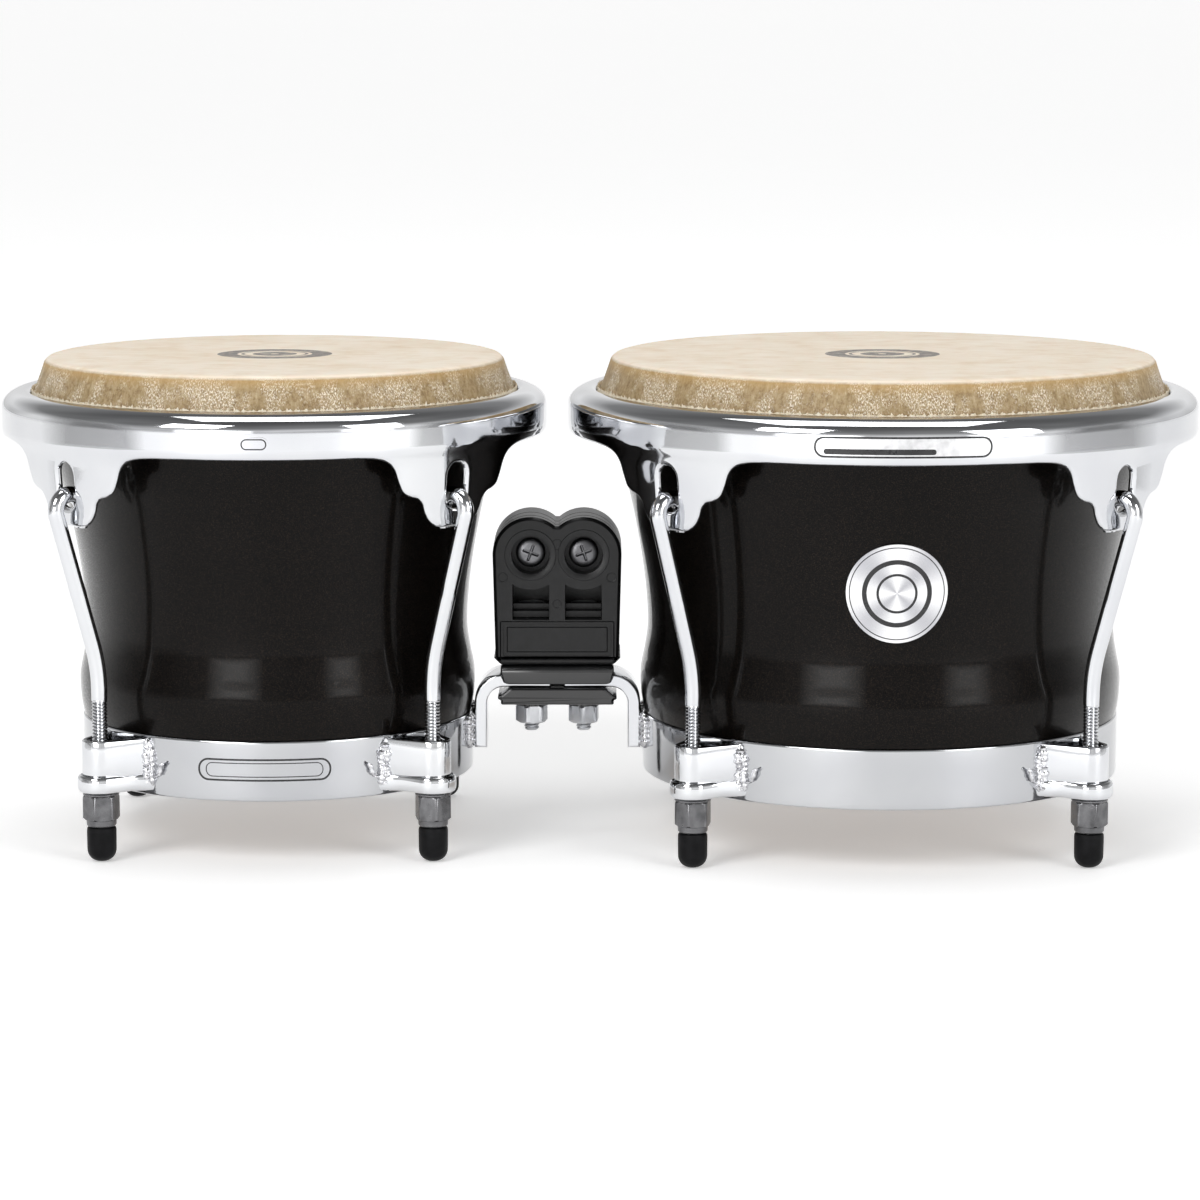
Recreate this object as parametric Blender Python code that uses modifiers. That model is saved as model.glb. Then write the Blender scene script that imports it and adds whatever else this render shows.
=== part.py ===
"""Bongo drums: a small drum (macho) and a large drum (hembra) joined by a clamp block.

Blender 4.5, metres, +Z up. X runs from the small drum to the large one and -Y is the front.
The origin lies on the floor, midway between the outer edges of the two rims. The drums stand
on the rubber caps of their tension rods. Both drums share their heights and sections, and each
radius follows from the radius of its playing surface.
"""

import math

import bmesh
import bpy
from mathutils import Matrix, Vector

# ---------------------------------------------------------------- driving dimensions
HEAD_RADIUS = {"macho": 0.0857, "hembra": 0.1020}  # flat playing surface
RIM_GAP = 0.0074  # between the two rims
HEAD_TOP = 0.1835
GAP = 0.0003  # between touching pieces
ROD_COUNT = 4
TURN_STEPS = 40  # facets of a turned piece

# Radii of a drum, counted from the radius of its playing surface
WAIST_OFFSET = -0.0129
RING_OFFSET = -0.0110
COLLAR_OFFSET = 0.0057
HOOP_OFFSET = 0.0066
EAR_OFFSET = 0.0162
RIM_OFFSET = 0.0180
HOOK_OFFSET = 0.0200
ROD_OFFSET = 0.0015

SHELL_WALL = 0.0070
SKIN_THICKNESS = 0.0016
COLLAR_LOW = 0.1635

HOOP_LOW = 0.1587
HOOP_HIGH = 0.1647
HOOP_WIDTH = 0.0050

RIM_LIP = 0.1543  # lower edge of the rim between its ears
EAR_THICKNESS = 0.0030
EAR_TIP = 0.1266
EAR_LEAN = 0.0022  # how far the ear's tip stands in from its root
SLOT_WIDTH = 0.0095
SLOT_LOW = 0.1336
SLOT_HIGH = 0.1505

RING_LOW = 0.0247
RING_HIGH = 0.0473
RING_THICKNESS = 0.0024

ROD_RADIUS = 0.0030
ROD_BEND_HEIGHT = 0.0730
ROD_BEND_REACH = 0.0090
ROD_END = 0.0030
HOOK_HEIGHT = 0.1325
HOOK_RADIUS = 0.0060
HOOK_END = 0.1265

TRAY_LOW = 0.0264
TRAY_HIGH = 0.0330
TRAY_RADIUS = 0.0087
STRAP_HIGH = 0.0460
STRAP_OUTER = 0.0068
STRAP_INNER = 0.0044
STRAP_SPLAY = math.radians(20)
ROD_HOLE = 0.0036

NUT_FLATS = 0.0122
NUT_LOW = 0.0158
NUT_HIGH = 0.0252
COLLAR_RADIUS = 0.0056
NUT_COLLAR_LOW = 0.0133
FLANGE_RADIUS = 0.0068
NUT_BORE = 0.0034

CAP_TOP = 0.0130
CAP_RADIUS = 0.0055
CAP_FLAT = 0.0020
CAP_FLOOR = 0.0027

BLOCK_HALF_WIDTH = 0.0245
BLOCK_HALF_DEPTH = 0.0160
BLOCK_LOW = 0.0662
BLOCK_CHAMFER = 0.0030
LOBE_RADIUS = 0.0144
LOBE_HEIGHT = 0.1084
BOLT_REACH = 0.0100  # from the block's middle to each bolt
POCKET_RADIUS = 0.00725
POCKET_DEPTH = 0.0090
WINDOW_WIDTH = 0.0140
WINDOW_LOW = 0.0835
WINDOW_HIGH = 0.0965
WINDOW_END = 0.0065
NAMEPLATE_WIDTH = 0.0412
NAMEPLATE_LOW = 0.0693
NAMEPLATE_HIGH = 0.0819
NAMEPLATE_DEPTH = 0.0010

PLATE_HALF_WIDTH = 0.0216
UPPER_PLATE_LOW = 0.0585
UPPER_PLATE_HIGH = 0.0659
UPPER_WEB_LOW = 0.0621
UPPER_FLANGE = 0.0033
LOWER_PLATE_LOW = 0.0502
LOWER_PLATE_HIGH = 0.0567
LOWER_PLATE_HALF_DEPTH = 0.0135
LOWER_CHAMFER = 0.0035

ARM_THICKNESS = 0.0048
ARM_HALF_DEPTH = 0.0120
ARM_STANDOFF = 0.0012  # from the ring to the arm's leg
ARM_FOOT = 0.0335
ARM_LEVEL = 0.0570  # underside of the arm's level end
ARM_BEND = 0.0065
ARM_END = 0.0025  # from the block's middle to the arm's end
WELD_HALF_WIDTH = 0.0170
WELD_HIGH = 0.0470

BOLT_RADIUS = 0.0030
BOLT_TIP = 0.0384
BOLT_HEAD_FLATS = 0.0100
BOLT_HEAD_HEIGHT = 0.0045
BOLT_HOLE = 0.0035
WASHER_RADIUS = 0.0075
WASHER_LOW = 0.0485
CLAMP_NUT_LOW = 0.0414
CLAMP_NUT_FLATS = 0.0110

SCREW_HEAD_RADIUS = 0.0056
SCREW_HEAD_HEIGHT = 0.0028
SCREW_RADIUS = 0.0020
SCREW_HOLE = 0.0025
SCREW_END = 0.0100

BADGE_RADIUS = 0.0184
BADGE_HEIGHT = 0.1050
BADGE_THICKNESS = 0.0008

# The shell's outer curve from the ring's top to the bearing edge: height, radius past the waist
SHELL_CURVE = (
    (0.0476, 0.0016),
    (0.0545, 0.0026),
    (0.0630, 0.0027),
    (0.0715, 0.0011),
    (0.0810, 0.0000),
    (0.0960, 0.0009),
    (0.1120, 0.0032),
    (0.1280, 0.0064),
    (0.1420, 0.0100),
    (0.1560, 0.0122),
    (0.1800, 0.0127),
)

# The scalloped edge of a rim ear: half width along the rim, height
EAR_EDGE = (
    (0.0082, EAR_TIP),
    (0.0129, 0.1306),
    (0.0152, 0.1362),
    (0.0179, 0.1384),
    (0.0209, 0.1391),
    (0.0234, 0.1406),
    (0.0258, 0.1450),
    (0.0274, 0.1498),
    (0.0324, 0.1528),
    (0.0420, RIM_LIP),
)

# The rim's section: radius from the playing surface's edge, height. It starts on the crest,
# runs down the outside to the ear's tip and comes back up inside.
RIM_SECTION = (
    (0.0088, 0.1713),
    (0.0120, 0.1709),
    (0.0159, 0.1689),
    (0.0173, 0.1672),
    (RIM_OFFSET, 0.1630),
    (0.0179, 0.1580),
    (0.0174, 0.1554),
    (EAR_OFFSET, 0.1541),
    (EAR_OFFSET - EAR_LEAN, EAR_TIP),
    (EAR_OFFSET - EAR_LEAN - EAR_THICKNESS, EAR_TIP),
    (EAR_OFFSET - EAR_THICKNESS, 0.1570),
    (0.0146, 0.1630),
    (0.0136, 0.1662),
    (0.0096, 0.1682),
    (0.0086, 0.1650),
    (0.0065, 0.1650),
    (0.0064, 0.1690),
)

MATERIALS = {  # base colour, metallic, roughness
    "black_lacquer": ((0.012, 0.009, 0.008), 0.0, 0.12),
    "rawhide": ((0.72, 0.58, 0.40), 0.0, 0.60),
    "chrome": ((0.80, 0.81, 0.82), 1.0, 0.08),
    "nickel": ((0.62, 0.63, 0.65), 1.0, 0.22),
    "rubber": ((0.012, 0.012, 0.013), 0.0, 0.55),
    "black_plastic": ((0.010, 0.010, 0.010), 0.0, 0.38),
    "black_steel": ((0.012, 0.012, 0.013), 0.2, 0.25),
    "zinc_steel": ((0.50, 0.51, 0.53), 1.0, 0.30),
    "aluminium": ((0.78, 0.78, 0.80), 1.0, 0.28),
}

RIM_RADIUS = {drum: radius + RIM_OFFSET for drum, radius in HEAD_RADIUS.items()}
TOTAL_WIDTH = 2 * RIM_RADIUS["macho"] + RIM_GAP + 2 * RIM_RADIUS["hembra"]
DRUM_X = {
    "macho": RIM_RADIUS["macho"] - TOTAL_WIDTH / 2,
    "hembra": TOTAL_WIDTH / 2 - RIM_RADIUS["hembra"],
}
BLOCK_X = DRUM_X["macho"] + RIM_RADIUS["macho"] + RIM_GAP / 2
MERGE = 0.00001


# ---------------------------------------------------------------- helpers
def clear_scene():
    for item in list(bpy.data.objects):
        bpy.data.objects.remove(item)


def new_collection(name):
    collection = bpy.data.collections.new(name)
    bpy.context.scene.collection.children.link(collection)
    return collection


def make_material(name):
    colour, metallic, roughness = MATERIALS[name]
    material = bpy.data.materials.new(name)
    material.use_nodes = True
    shader = material.node_tree.nodes["Principled BSDF"]
    shader.inputs["Base Color"].default_value = (*colour, 1.0)
    shader.inputs["Metallic"].default_value = metallic
    shader.inputs["Roughness"].default_value = roughness
    return material


def place(name, mesh, material, parent=None, location=(0, 0, 0), turn=0.0):
    """Puts a part in the bongo collection with a material of its own."""
    part = bpy.data.objects.new(name, mesh)
    PARTS.objects.link(part)
    part.parent = parent
    part.location = location
    part.rotation_euler[2] = turn
    if material not in [slot.name for slot in mesh.materials if slot]:
        mesh.materials.append(MATERIAL[material])
    return part


def place_cutter(name, mesh, location=(0, 0, 0), turn=0.0, parent=None):
    """Puts a Boolean's operand in the cutters' collection, out of the render."""
    cutter = bpy.data.objects.new(name, mesh)
    CUTTERS.objects.link(cutter)
    cutter.parent = parent
    cutter.location = location
    cutter.rotation_euler[2] = turn
    cutter.hide_render = True
    cutter.display_type = "WIRE"
    return cutter


def boolean(part, cutter, operation="DIFFERENCE"):
    modifier = part.modifiers.new(cutter.name, "BOOLEAN")
    modifier.operation = operation
    modifier.object = cutter


def evaluated_mesh(item, name):
    """The item's mesh with its modifiers applied, welded, as a mesh of its own."""
    graph = bpy.context.evaluated_depsgraph_get()
    mesh = bpy.data.meshes.new_from_object(item.evaluated_get(graph))
    mesh.name = name
    shape = bmesh.new()
    shape.from_mesh(mesh)
    bmesh.ops.remove_doubles(shape, verts=shape.verts, dist=MERGE)
    bmesh.ops.recalc_face_normals(shape, faces=shape.faces)
    shape.to_mesh(mesh)
    shape.free()
    return mesh


def smooth(mesh, angle=35):
    mesh.shade_smooth()
    mesh.set_sharp_from_angle(angle=math.radians(angle))
    return mesh


def turned(name, profile, steps=TURN_STEPS, closed=True):
    """Turns a profile of (radius, height) about Z. An open profile starts and ends on the axis."""
    mesh = bpy.data.meshes.new(name)
    count = len(profile)
    edges = [(index, (index + 1) % count) for index in range(count if closed else count - 1)]
    mesh.from_pydata([(radius, 0, height) for radius, height in profile], edges, [])
    holder = bpy.data.objects.new(name, mesh)
    CUTTERS.objects.link(holder)
    screw = holder.modifiers.new("turn", "SCREW")
    screw.steps = steps
    screw.render_steps = steps
    screw.use_merge_vertices = True
    screw.merge_threshold = MERGE
    solid = evaluated_mesh(holder, name)
    bpy.data.objects.remove(holder)
    return smooth(solid)


def plate(name, outlines, thickness):
    """Fills flat outlines of (x, y), the later ones being holes, evenly about z = 0."""
    curve = bpy.data.curves.new(name, "CURVE")
    curve.dimensions = "2D"
    curve.fill_mode = "BOTH"
    curve.extrude = thickness / 2
    for outline in outlines:
        spline = curve.splines.new("POLY")
        spline.points.add(len(outline) - 1)
        for point, (x, y) in zip(spline.points, outline):
            point.co = (x, y, 0, 1)
        spline.use_cyclic_u = True
    holder = bpy.data.objects.new(name, curve)
    CUTTERS.objects.link(holder)
    mesh = evaluated_mesh(holder, name)
    bpy.data.objects.remove(holder)
    return mesh


def moved(mesh, matrix):
    mesh.transform(matrix)
    return mesh


def raised(mesh, height):
    return moved(mesh, Matrix.Translation((0, 0, height)))


def upright(mesh):
    """Stands a flat mesh up: its x stays, its y becomes Z and its thickness lies along Y."""
    return moved(mesh, Matrix.Rotation(math.pi / 2, 4, "X"))


def prism(name, sides, radius, low, high):
    """A straight prism between two heights. The radius is to its corners."""
    shape = bmesh.new()
    bmesh.ops.create_cone(
        shape, cap_ends=True, segments=sides, radius1=radius, radius2=radius, depth=high - low
    )
    mesh = bpy.data.meshes.new(name)
    shape.to_mesh(mesh)
    shape.free()
    return raised(mesh, (low + high) / 2)


def box(name, low, high):
    shape = bmesh.new()
    bmesh.ops.create_cube(shape, size=1)
    size = Vector(high) - Vector(low)
    middle = (Vector(high) + Vector(low)) / 2
    bmesh.ops.scale(shape, vec=size, verts=shape.verts)
    bmesh.ops.translate(shape, vec=middle, verts=shape.verts)
    mesh = bpy.data.meshes.new(name)
    shape.to_mesh(mesh)
    shape.free()
    return mesh


def combined(name, base, operations):
    """Bakes Boolean operations, given as (operation, mesh), into one mesh for repeated pieces."""
    holder = bpy.data.objects.new(name, base)
    CUTTERS.objects.link(holder)
    operands = []
    for operation, mesh in operations:
        operand = bpy.data.objects.new(mesh.name, mesh)
        CUTTERS.objects.link(operand)
        boolean(holder, operand, operation)
        operands.append(operand)
    result = evaluated_mesh(holder, name)
    for item in [holder, *operands]:
        bpy.data.objects.remove(item)
    return result


def arc(centre, radius, start, end, count):
    """Points on a circle from one angle to another, in degrees."""
    angles = [math.radians(start + (end - start) * step / (count - 1)) for step in range(count)]
    return [
        (centre[0] + radius * math.cos(angle), centre[1] + radius * math.sin(angle))
        for angle in angles
    ]


def across_flats(width):
    return width / 2 / math.cos(math.pi / 6)


def rod_angles():
    return [math.radians(45 + 360 / ROD_COUNT * index) for index in range(ROD_COUNT)]


# ---------------------------------------------------------------- the parts of one drum
def shell_radius(drum, height):
    """The shell's outer radius at a height, straight between the points of its curve."""
    waist = HEAD_RADIUS[drum] + WAIST_OFFSET
    for (low, first), (high, second) in zip(SHELL_CURVE, SHELL_CURVE[1:]):
        if low <= height <= high:
            return waist + first + (second - first) * (height - low) / (high - low)
    raise ValueError(height)


def make_shell(drum, parent):
    waist = HEAD_RADIUS[drum] + WAIST_OFFSET
    ring_inner = HEAD_RADIUS[drum] + RING_OFFSET - RING_THICKNESS
    edge_top = HEAD_TOP - SKIN_THICKNESS - GAP
    outer = [(waist + offset, height) for height, offset in reversed(SHELL_CURVE)]
    edge = [(outer[0][0] - SHELL_WALL, edge_top - 0.0020), (outer[0][0] - 0.0025, edge_top)]
    rebate = [(ring_inner - GAP, SHELL_CURVE[0][0]), (ring_inner - GAP, RING_LOW + 0.0010)]
    inner = [
        (waist + offset - SHELL_WALL, height) for height, offset in SHELL_CURVE[1:-1:2]
    ]
    foot = [(waist - SHELL_WALL + SHELL_CURVE[0][1], RING_LOW + 0.0010)]
    mesh = turned(f"{drum}_shell", [*edge, *outer, *rebate, *foot, *inner])
    return place(f"{drum}_shell", mesh, "black_lacquer", parent)


def make_skin(drum, parent):
    head = HEAD_RADIUS[drum]
    collar = head + COLLAR_OFFSET
    low = HEAD_TOP - SKIN_THICKNESS
    profile = [
        (0, HEAD_TOP),
        (head - 0.0010, HEAD_TOP),
        (head + 0.0006, HEAD_TOP - 0.0005),
        (head + 0.0015, HEAD_TOP - 0.0019),
        (collar - 0.0001, 0.1698),
        (collar, COLLAR_LOW),
        (collar - SKIN_THICKNESS, COLLAR_LOW),
        (collar - SKIN_THICKNESS, 0.1696),
        (head + 0.0002, low),
        (head - 0.0012, low),
        (0, low),
    ]
    mesh = turned(f"{drum}_skin", profile, closed=False)
    return place(f"{drum}_skin", mesh, "rawhide", parent)


def make_flesh_hoop(drum, parent):
    inner = HEAD_RADIUS[drum] + HOOP_OFFSET
    outer = inner + HOOP_WIDTH
    profile = [(inner, HOOP_HIGH), (outer, HOOP_HIGH), (outer, HOOP_LOW), (inner, HOOP_LOW)]
    mesh = turned(f"{drum}_flesh_hoop", profile)
    return place(f"{drum}_flesh_hoop", mesh, "zinc_steel", parent)


def ear_gap_outline(drum):
    """The opening between two ears, seen along the middle of the gap."""
    face = HEAD_RADIUS[drum] + EAR_OFFSET
    half = [
        (face * math.sin(math.pi / 4 - width / face), height) for width, height in EAR_EDGE
    ]
    below = EAR_TIP - 0.0060
    left = [(-x, height) for x, height in reversed(half)]
    return [(half[0][0], below), *half, *left, (-half[0][0], below)]


def slot_outline():
    half = SLOT_WIDTH / 2
    top = arc((0, SLOT_HIGH - half), half, 0, 180, 7)
    corner = half * 0.6
    bottom = [
        (-half, SLOT_LOW + corner),
        (-half + corner, SLOT_LOW),
        (half - corner, SLOT_LOW),
        (half, SLOT_LOW + corner),
    ]
    return [*top, *bottom]


def make_rim(drum, parent):
    head = HEAD_RADIUS[drum]
    reach = 2 * (head + RIM_OFFSET) + 0.0200
    mesh = turned(f"{drum}_rim", [(head + offset, height) for offset, height in RIM_SECTION])
    rim = place(f"{drum}_rim", mesh, "chrome", parent)
    for index in range(2):
        gap = upright(plate(f"{drum}_ear_gap_{index + 1}", [ear_gap_outline(drum)], reach))
        turn = index * math.pi / 2
        boolean(rim, place_cutter(gap.name, gap, turn=turn, parent=parent))
    for index in range(2):
        slot = upright(plate(f"{drum}_hook_slot_{index + 1}", [slot_outline()], reach))
        turn = math.pi / 4 + index * math.pi / 2
        boolean(rim, place_cutter(slot.name, slot, turn=turn, parent=parent))
    return rim


def make_bottom_ring(drum, parent):
    outer = HEAD_RADIUS[drum] + RING_OFFSET
    inner = outer - RING_THICKNESS
    profile = [(inner, RING_HIGH), (outer, RING_HIGH), (outer, RING_LOW), (inner, RING_LOW)]
    mesh = turned(f"{drum}_bottom_ring", profile)
    return place(f"{drum}_bottom_ring", mesh, "chrome", parent)


def rod_path(drum):
    """The rod's centre line as (radius from the drum's axis, height), from hook to foot."""
    hook = HEAD_RADIUS[drum] + HOOK_OFFSET
    foot = HEAD_RADIUS[drum] + ROD_OFFSET
    over = arc((hook - HOOK_RADIUS, HOOK_HEIGHT), HOOK_RADIUS, 180, 0, 6)
    slant = Vector((hook - foot, HOOK_HEIGHT - ROD_BEND_HEIGHT)).normalized()
    corner = Vector((foot, ROD_BEND_HEIGHT))
    above = corner + slant * ROD_BEND_REACH
    below = corner - Vector((0, ROD_BEND_REACH))
    bend = []
    for step in range(4):
        part = step / 3
        bend.append(above * (1 - part) ** 2 + corner * 2 * part * (1 - part) + below * part**2)
    return [(hook - 2 * HOOK_RADIUS, HOOK_END), *over, *bend, (foot, ROD_END)]


def rod_mesh(drum):
    curve = bpy.data.curves.new(f"{drum}_tension_rod", "CURVE")
    curve.dimensions = "3D"
    curve.bevel_depth = ROD_RADIUS
    curve.bevel_resolution = 2
    curve.use_fill_caps = True
    spline = curve.splines.new("POLY")
    path = rod_path(drum)
    spline.points.add(len(path) - 1)
    for point, (radius, height) in zip(spline.points, path):
        point.co = (radius, 0, height, 1)
    holder = bpy.data.objects.new(curve.name, curve)
    CUTTERS.objects.link(holder)
    mesh = evaluated_mesh(holder, curve.name)
    bpy.data.objects.remove(holder)
    return smooth(mesh, 60)


def leg_point(drum, radius, side):
    """Where a line beside the strap, at this distance from the rod's axis, meets the ring."""
    normal = Vector((math.sin(STRAP_SPLAY), side * math.cos(STRAP_SPLAY)))
    along = Vector((-math.cos(STRAP_SPLAY), side * math.sin(STRAP_SPLAY)))
    start = normal * radius + Vector((HEAD_RADIUS[drum] + ROD_OFFSET, 0))
    target = HEAD_RADIUS[drum] + RING_OFFSET + GAP
    reach = start.dot(along)
    length = -reach - math.sqrt(reach**2 - start.length_squared + target**2)
    end = start + along * length
    return (end.x - HEAD_RADIUS[drum] - ROD_OFFSET, end.y)


def strap_outline(drum):
    """The lug's strap in plan: round the rod and back to the ring, with the rod at the origin."""
    turn = 90 - math.degrees(STRAP_SPLAY)
    outer = arc((0, 0), STRAP_OUTER, -turn, turn, 8)
    inner = arc((0, 0), STRAP_INNER, turn, -turn, 6)
    upper = [leg_point(drum, STRAP_OUTER, 1), leg_point(drum, STRAP_INNER, 1)]
    lower = [leg_point(drum, STRAP_INNER, -1), leg_point(drum, STRAP_OUTER, -1)]
    return [*outer, *upper, *inner, *lower]


def tray_outline(drum):
    turn = 90 - math.degrees(STRAP_SPLAY)
    nose = arc((0, 0), TRAY_RADIUS, -turn, turn, 8)
    root = HEAD_RADIUS[drum] + RING_OFFSET + GAP - HEAD_RADIUS[drum] - ROD_OFFSET
    return [*nose, leg_point(drum, TRAY_RADIUS, 1), (root, 0), leg_point(drum, TRAY_RADIUS, -1)]


def lug_mesh(drum):
    """A pressed tray with the rod's hole, and a strap standing on it."""
    tray = raised(
        plate(f"{drum}_lug_tray", [tray_outline(drum)], TRAY_HIGH - TRAY_LOW),
        (TRAY_HIGH + TRAY_LOW) / 2,
    )
    strap_low = TRAY_HIGH - 0.0010
    strap = raised(
        plate(f"{drum}_lug_strap", [strap_outline(drum)], STRAP_HIGH - strap_low),
        (STRAP_HIGH + strap_low) / 2,
    )
    hole = prism(f"{drum}_lug_hole", 10, ROD_HOLE, TRAY_LOW - 0.0020, TRAY_HIGH + 0.0020)
    mesh = combined(f"{drum}_lug_bracket", tray, [("UNION", strap), ("DIFFERENCE", hole)])
    return smooth(mesh)


def tuning_nut_mesh():
    """A long hexagon nut with a round collar below and a thin flange above."""
    hexagon = prism("nut_hexagon", 6, across_flats(NUT_FLATS), NUT_LOW, NUT_HIGH)
    high = TRAY_LOW - GAP
    collar = prism("nut_collar", 12, COLLAR_RADIUS, NUT_COLLAR_LOW, NUT_LOW + 0.0010)
    flange = prism("nut_flange", 12, FLANGE_RADIUS, NUT_HIGH - 0.0005, high)
    bore = prism("nut_bore", 8, NUT_BORE, NUT_COLLAR_LOW - 0.0020, high + 0.0020)
    operations = [("UNION", collar), ("UNION", flange), ("DIFFERENCE", bore)]
    return smooth(combined("tuning_nut", hexagon, operations))


def rubber_cap_mesh():
    profile = [
        (0, CAP_FLOOR),
        (NUT_BORE, CAP_FLOOR),
        (NUT_BORE, CAP_TOP),
        (CAP_RADIUS, CAP_TOP),
        (CAP_RADIUS, 0.0040),
        (CAP_RADIUS * 0.76, 0.0010),
        (CAP_FLAT, 0),
        (0, 0),
    ]
    return turned("rubber_cap", profile, steps=12, closed=False)


def make_tuning_set(drum, parent, nut, cap):
    """Four rods with their lugs, nuts and caps. A nut's origin lies on its own rod."""
    rod = rod_mesh(drum)
    lug = lug_mesh(drum)
    circle = HEAD_RADIUS[drum] + ROD_OFFSET
    for index, angle in enumerate(rod_angles(), start=1):
        spot = (circle * math.cos(angle), circle * math.sin(angle), 0)
        place(f"{drum}_tension_rod_{index}", rod, "chrome", parent, turn=angle)
        place(f"{drum}_lug_bracket_{index}", lug, "chrome", parent, spot, angle)
        place(f"{drum}_tuning_nut_{index}", nut, "nickel", parent, spot, angle)
        place(f"{drum}_rubber_cap_{index}", cap, "rubber", parent, spot, angle)


def make_drum(drum, nut, cap):
    axis = bpy.data.objects.new(f"{drum}_axis", None)
    PARTS.objects.link(axis)
    axis.location = (DRUM_X[drum], 0, 0)
    make_shell(drum, axis)
    make_skin(drum, axis)
    make_flesh_hoop(drum, axis)
    make_rim(drum, axis)
    make_bottom_ring(drum, axis)
    make_tuning_set(drum, axis, nut, cap)
    return axis


def make_badge(drum, parent):
    """A thin round badge that follows the shell's curve at its front."""
    lows = BADGE_HEIGHT - BADGE_RADIUS - 0.0020
    highs = BADGE_HEIGHT + BADGE_RADIUS + 0.0020
    heights = [lows + (highs - lows) * step / 6 for step in range(7)]
    inner = [(shell_radius(drum, height) + GAP, height) for height in heights]
    outer = [(radius + BADGE_THICKNESS, height) for radius, height in reversed(inner)]
    sleeve = turned("badge_sleeve", [*outer, *inner])
    punch = prism("badge_punch", 28, BADGE_RADIUS, 0, 0.2)
    moved(punch, Matrix.Translation((0, 0, BADGE_HEIGHT)) @ Matrix.Rotation(math.pi / 2, 4, "X"))
    disc = place(f"{drum}_badge", sleeve, "aluminium", parent)
    boolean(disc, place_cutter("badge_punch", punch, parent=parent), "INTERSECT")
    return disc


# ---------------------------------------------------------------- the clamp between the drums
def block_outline():
    """Two round lobes over straight sides, with chamfered lower corners."""
    centre = BLOCK_HALF_WIDTH - LOBE_RADIUS
    notch = math.degrees(math.acos(-centre / LOBE_RADIUS))
    right = arc((centre, LOBE_HEIGHT), LOBE_RADIUS, 0, notch, 11)
    left = [(-x, height) for x, height in reversed(right[:-1])]
    foot = [
        (-BLOCK_HALF_WIDTH, BLOCK_LOW + BLOCK_CHAMFER),
        (-BLOCK_HALF_WIDTH + BLOCK_CHAMFER, BLOCK_LOW),
        (BLOCK_HALF_WIDTH - BLOCK_CHAMFER, BLOCK_LOW),
        (BLOCK_HALF_WIDTH, BLOCK_LOW + BLOCK_CHAMFER),
    ]
    return [*right, *left, *foot]


def lying_prism(name, radius, centre, front, back):
    """A round prism along Y between two depths, centred at (x, height)."""
    mesh = prism(name, 16, radius, front, back)
    turn = Matrix.Rotation(-math.pi / 2, 4, "X")
    return moved(mesh, Matrix.Translation((centre[0], 0, centre[1])) @ turn)


def make_block(parent):
    """Front and rear halves, each cut for the bolts, the screws and the front's openings."""
    halves = {
        "clamp_block_front": (-BLOCK_HALF_DEPTH, -GAP / 2),
        "clamp_block_rear": (GAP / 2, BLOCK_HALF_DEPTH),
    }
    lobe = BLOCK_HALF_WIDTH - LOBE_RADIUS
    cutters = []
    for index, side in enumerate((-1, 1), start=1):
        x = side * BOLT_REACH
        half = WINDOW_WIDTH / 2
        low = (x - half, -BLOCK_HALF_DEPTH - 0.0020, WINDOW_LOW)
        high = (x + half, WINDOW_END, WINDOW_HIGH)
        cutters.append(box(f"block_window_{index}", low, high))
        cutters.append(
            prism(f"block_bolt_hole_{index}", 12, BOLT_HOLE, BLOCK_LOW - 0.0020, WINDOW_LOW + 0.0020)
        )
        cutters[-1].transform(Matrix.Translation((x, 0, 0)))
        centre = (side * lobe, LOBE_HEIGHT)
        pocket_end = POCKET_DEPTH - BLOCK_HALF_DEPTH
        front = -BLOCK_HALF_DEPTH - 0.0020
        cutters.append(
            lying_prism(f"block_pocket_{index}", POCKET_RADIUS, centre, front, pocket_end)
        )
        cutters.append(
            lying_prism(f"block_screw_hole_{index}", SCREW_HOLE, centre, front, SCREW_END + GAP)
        )
    half = NAMEPLATE_WIDTH / 2
    plate_end = NAMEPLATE_DEPTH - BLOCK_HALF_DEPTH
    low = (-half, -BLOCK_HALF_DEPTH - 0.0020, NAMEPLATE_LOW)
    cutters.append(box("block_nameplate", low, (half, plate_end, NAMEPLATE_HIGH)))
    operands = [place_cutter(mesh.name, mesh, parent=parent) for mesh in cutters]
    for name, (front, back) in halves.items():
        mesh = upright(plate(name, [block_outline()], back - front))
        moved(mesh, Matrix.Translation((0, (front + back) / 2, 0)))
        body = place(name, mesh, "black_plastic", parent)
        for operand in operands:
            if name == "clamp_block_front" or operand.name != "block_nameplate":
                boolean(body, operand)


def bolt_hole_mesh(name, low, high, side):
    mesh = prism(name, 12, BOLT_HOLE, low - 0.0020, high + 0.0020)
    return moved(mesh, Matrix.Translation((side * BOLT_REACH, 0, 0)))


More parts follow.
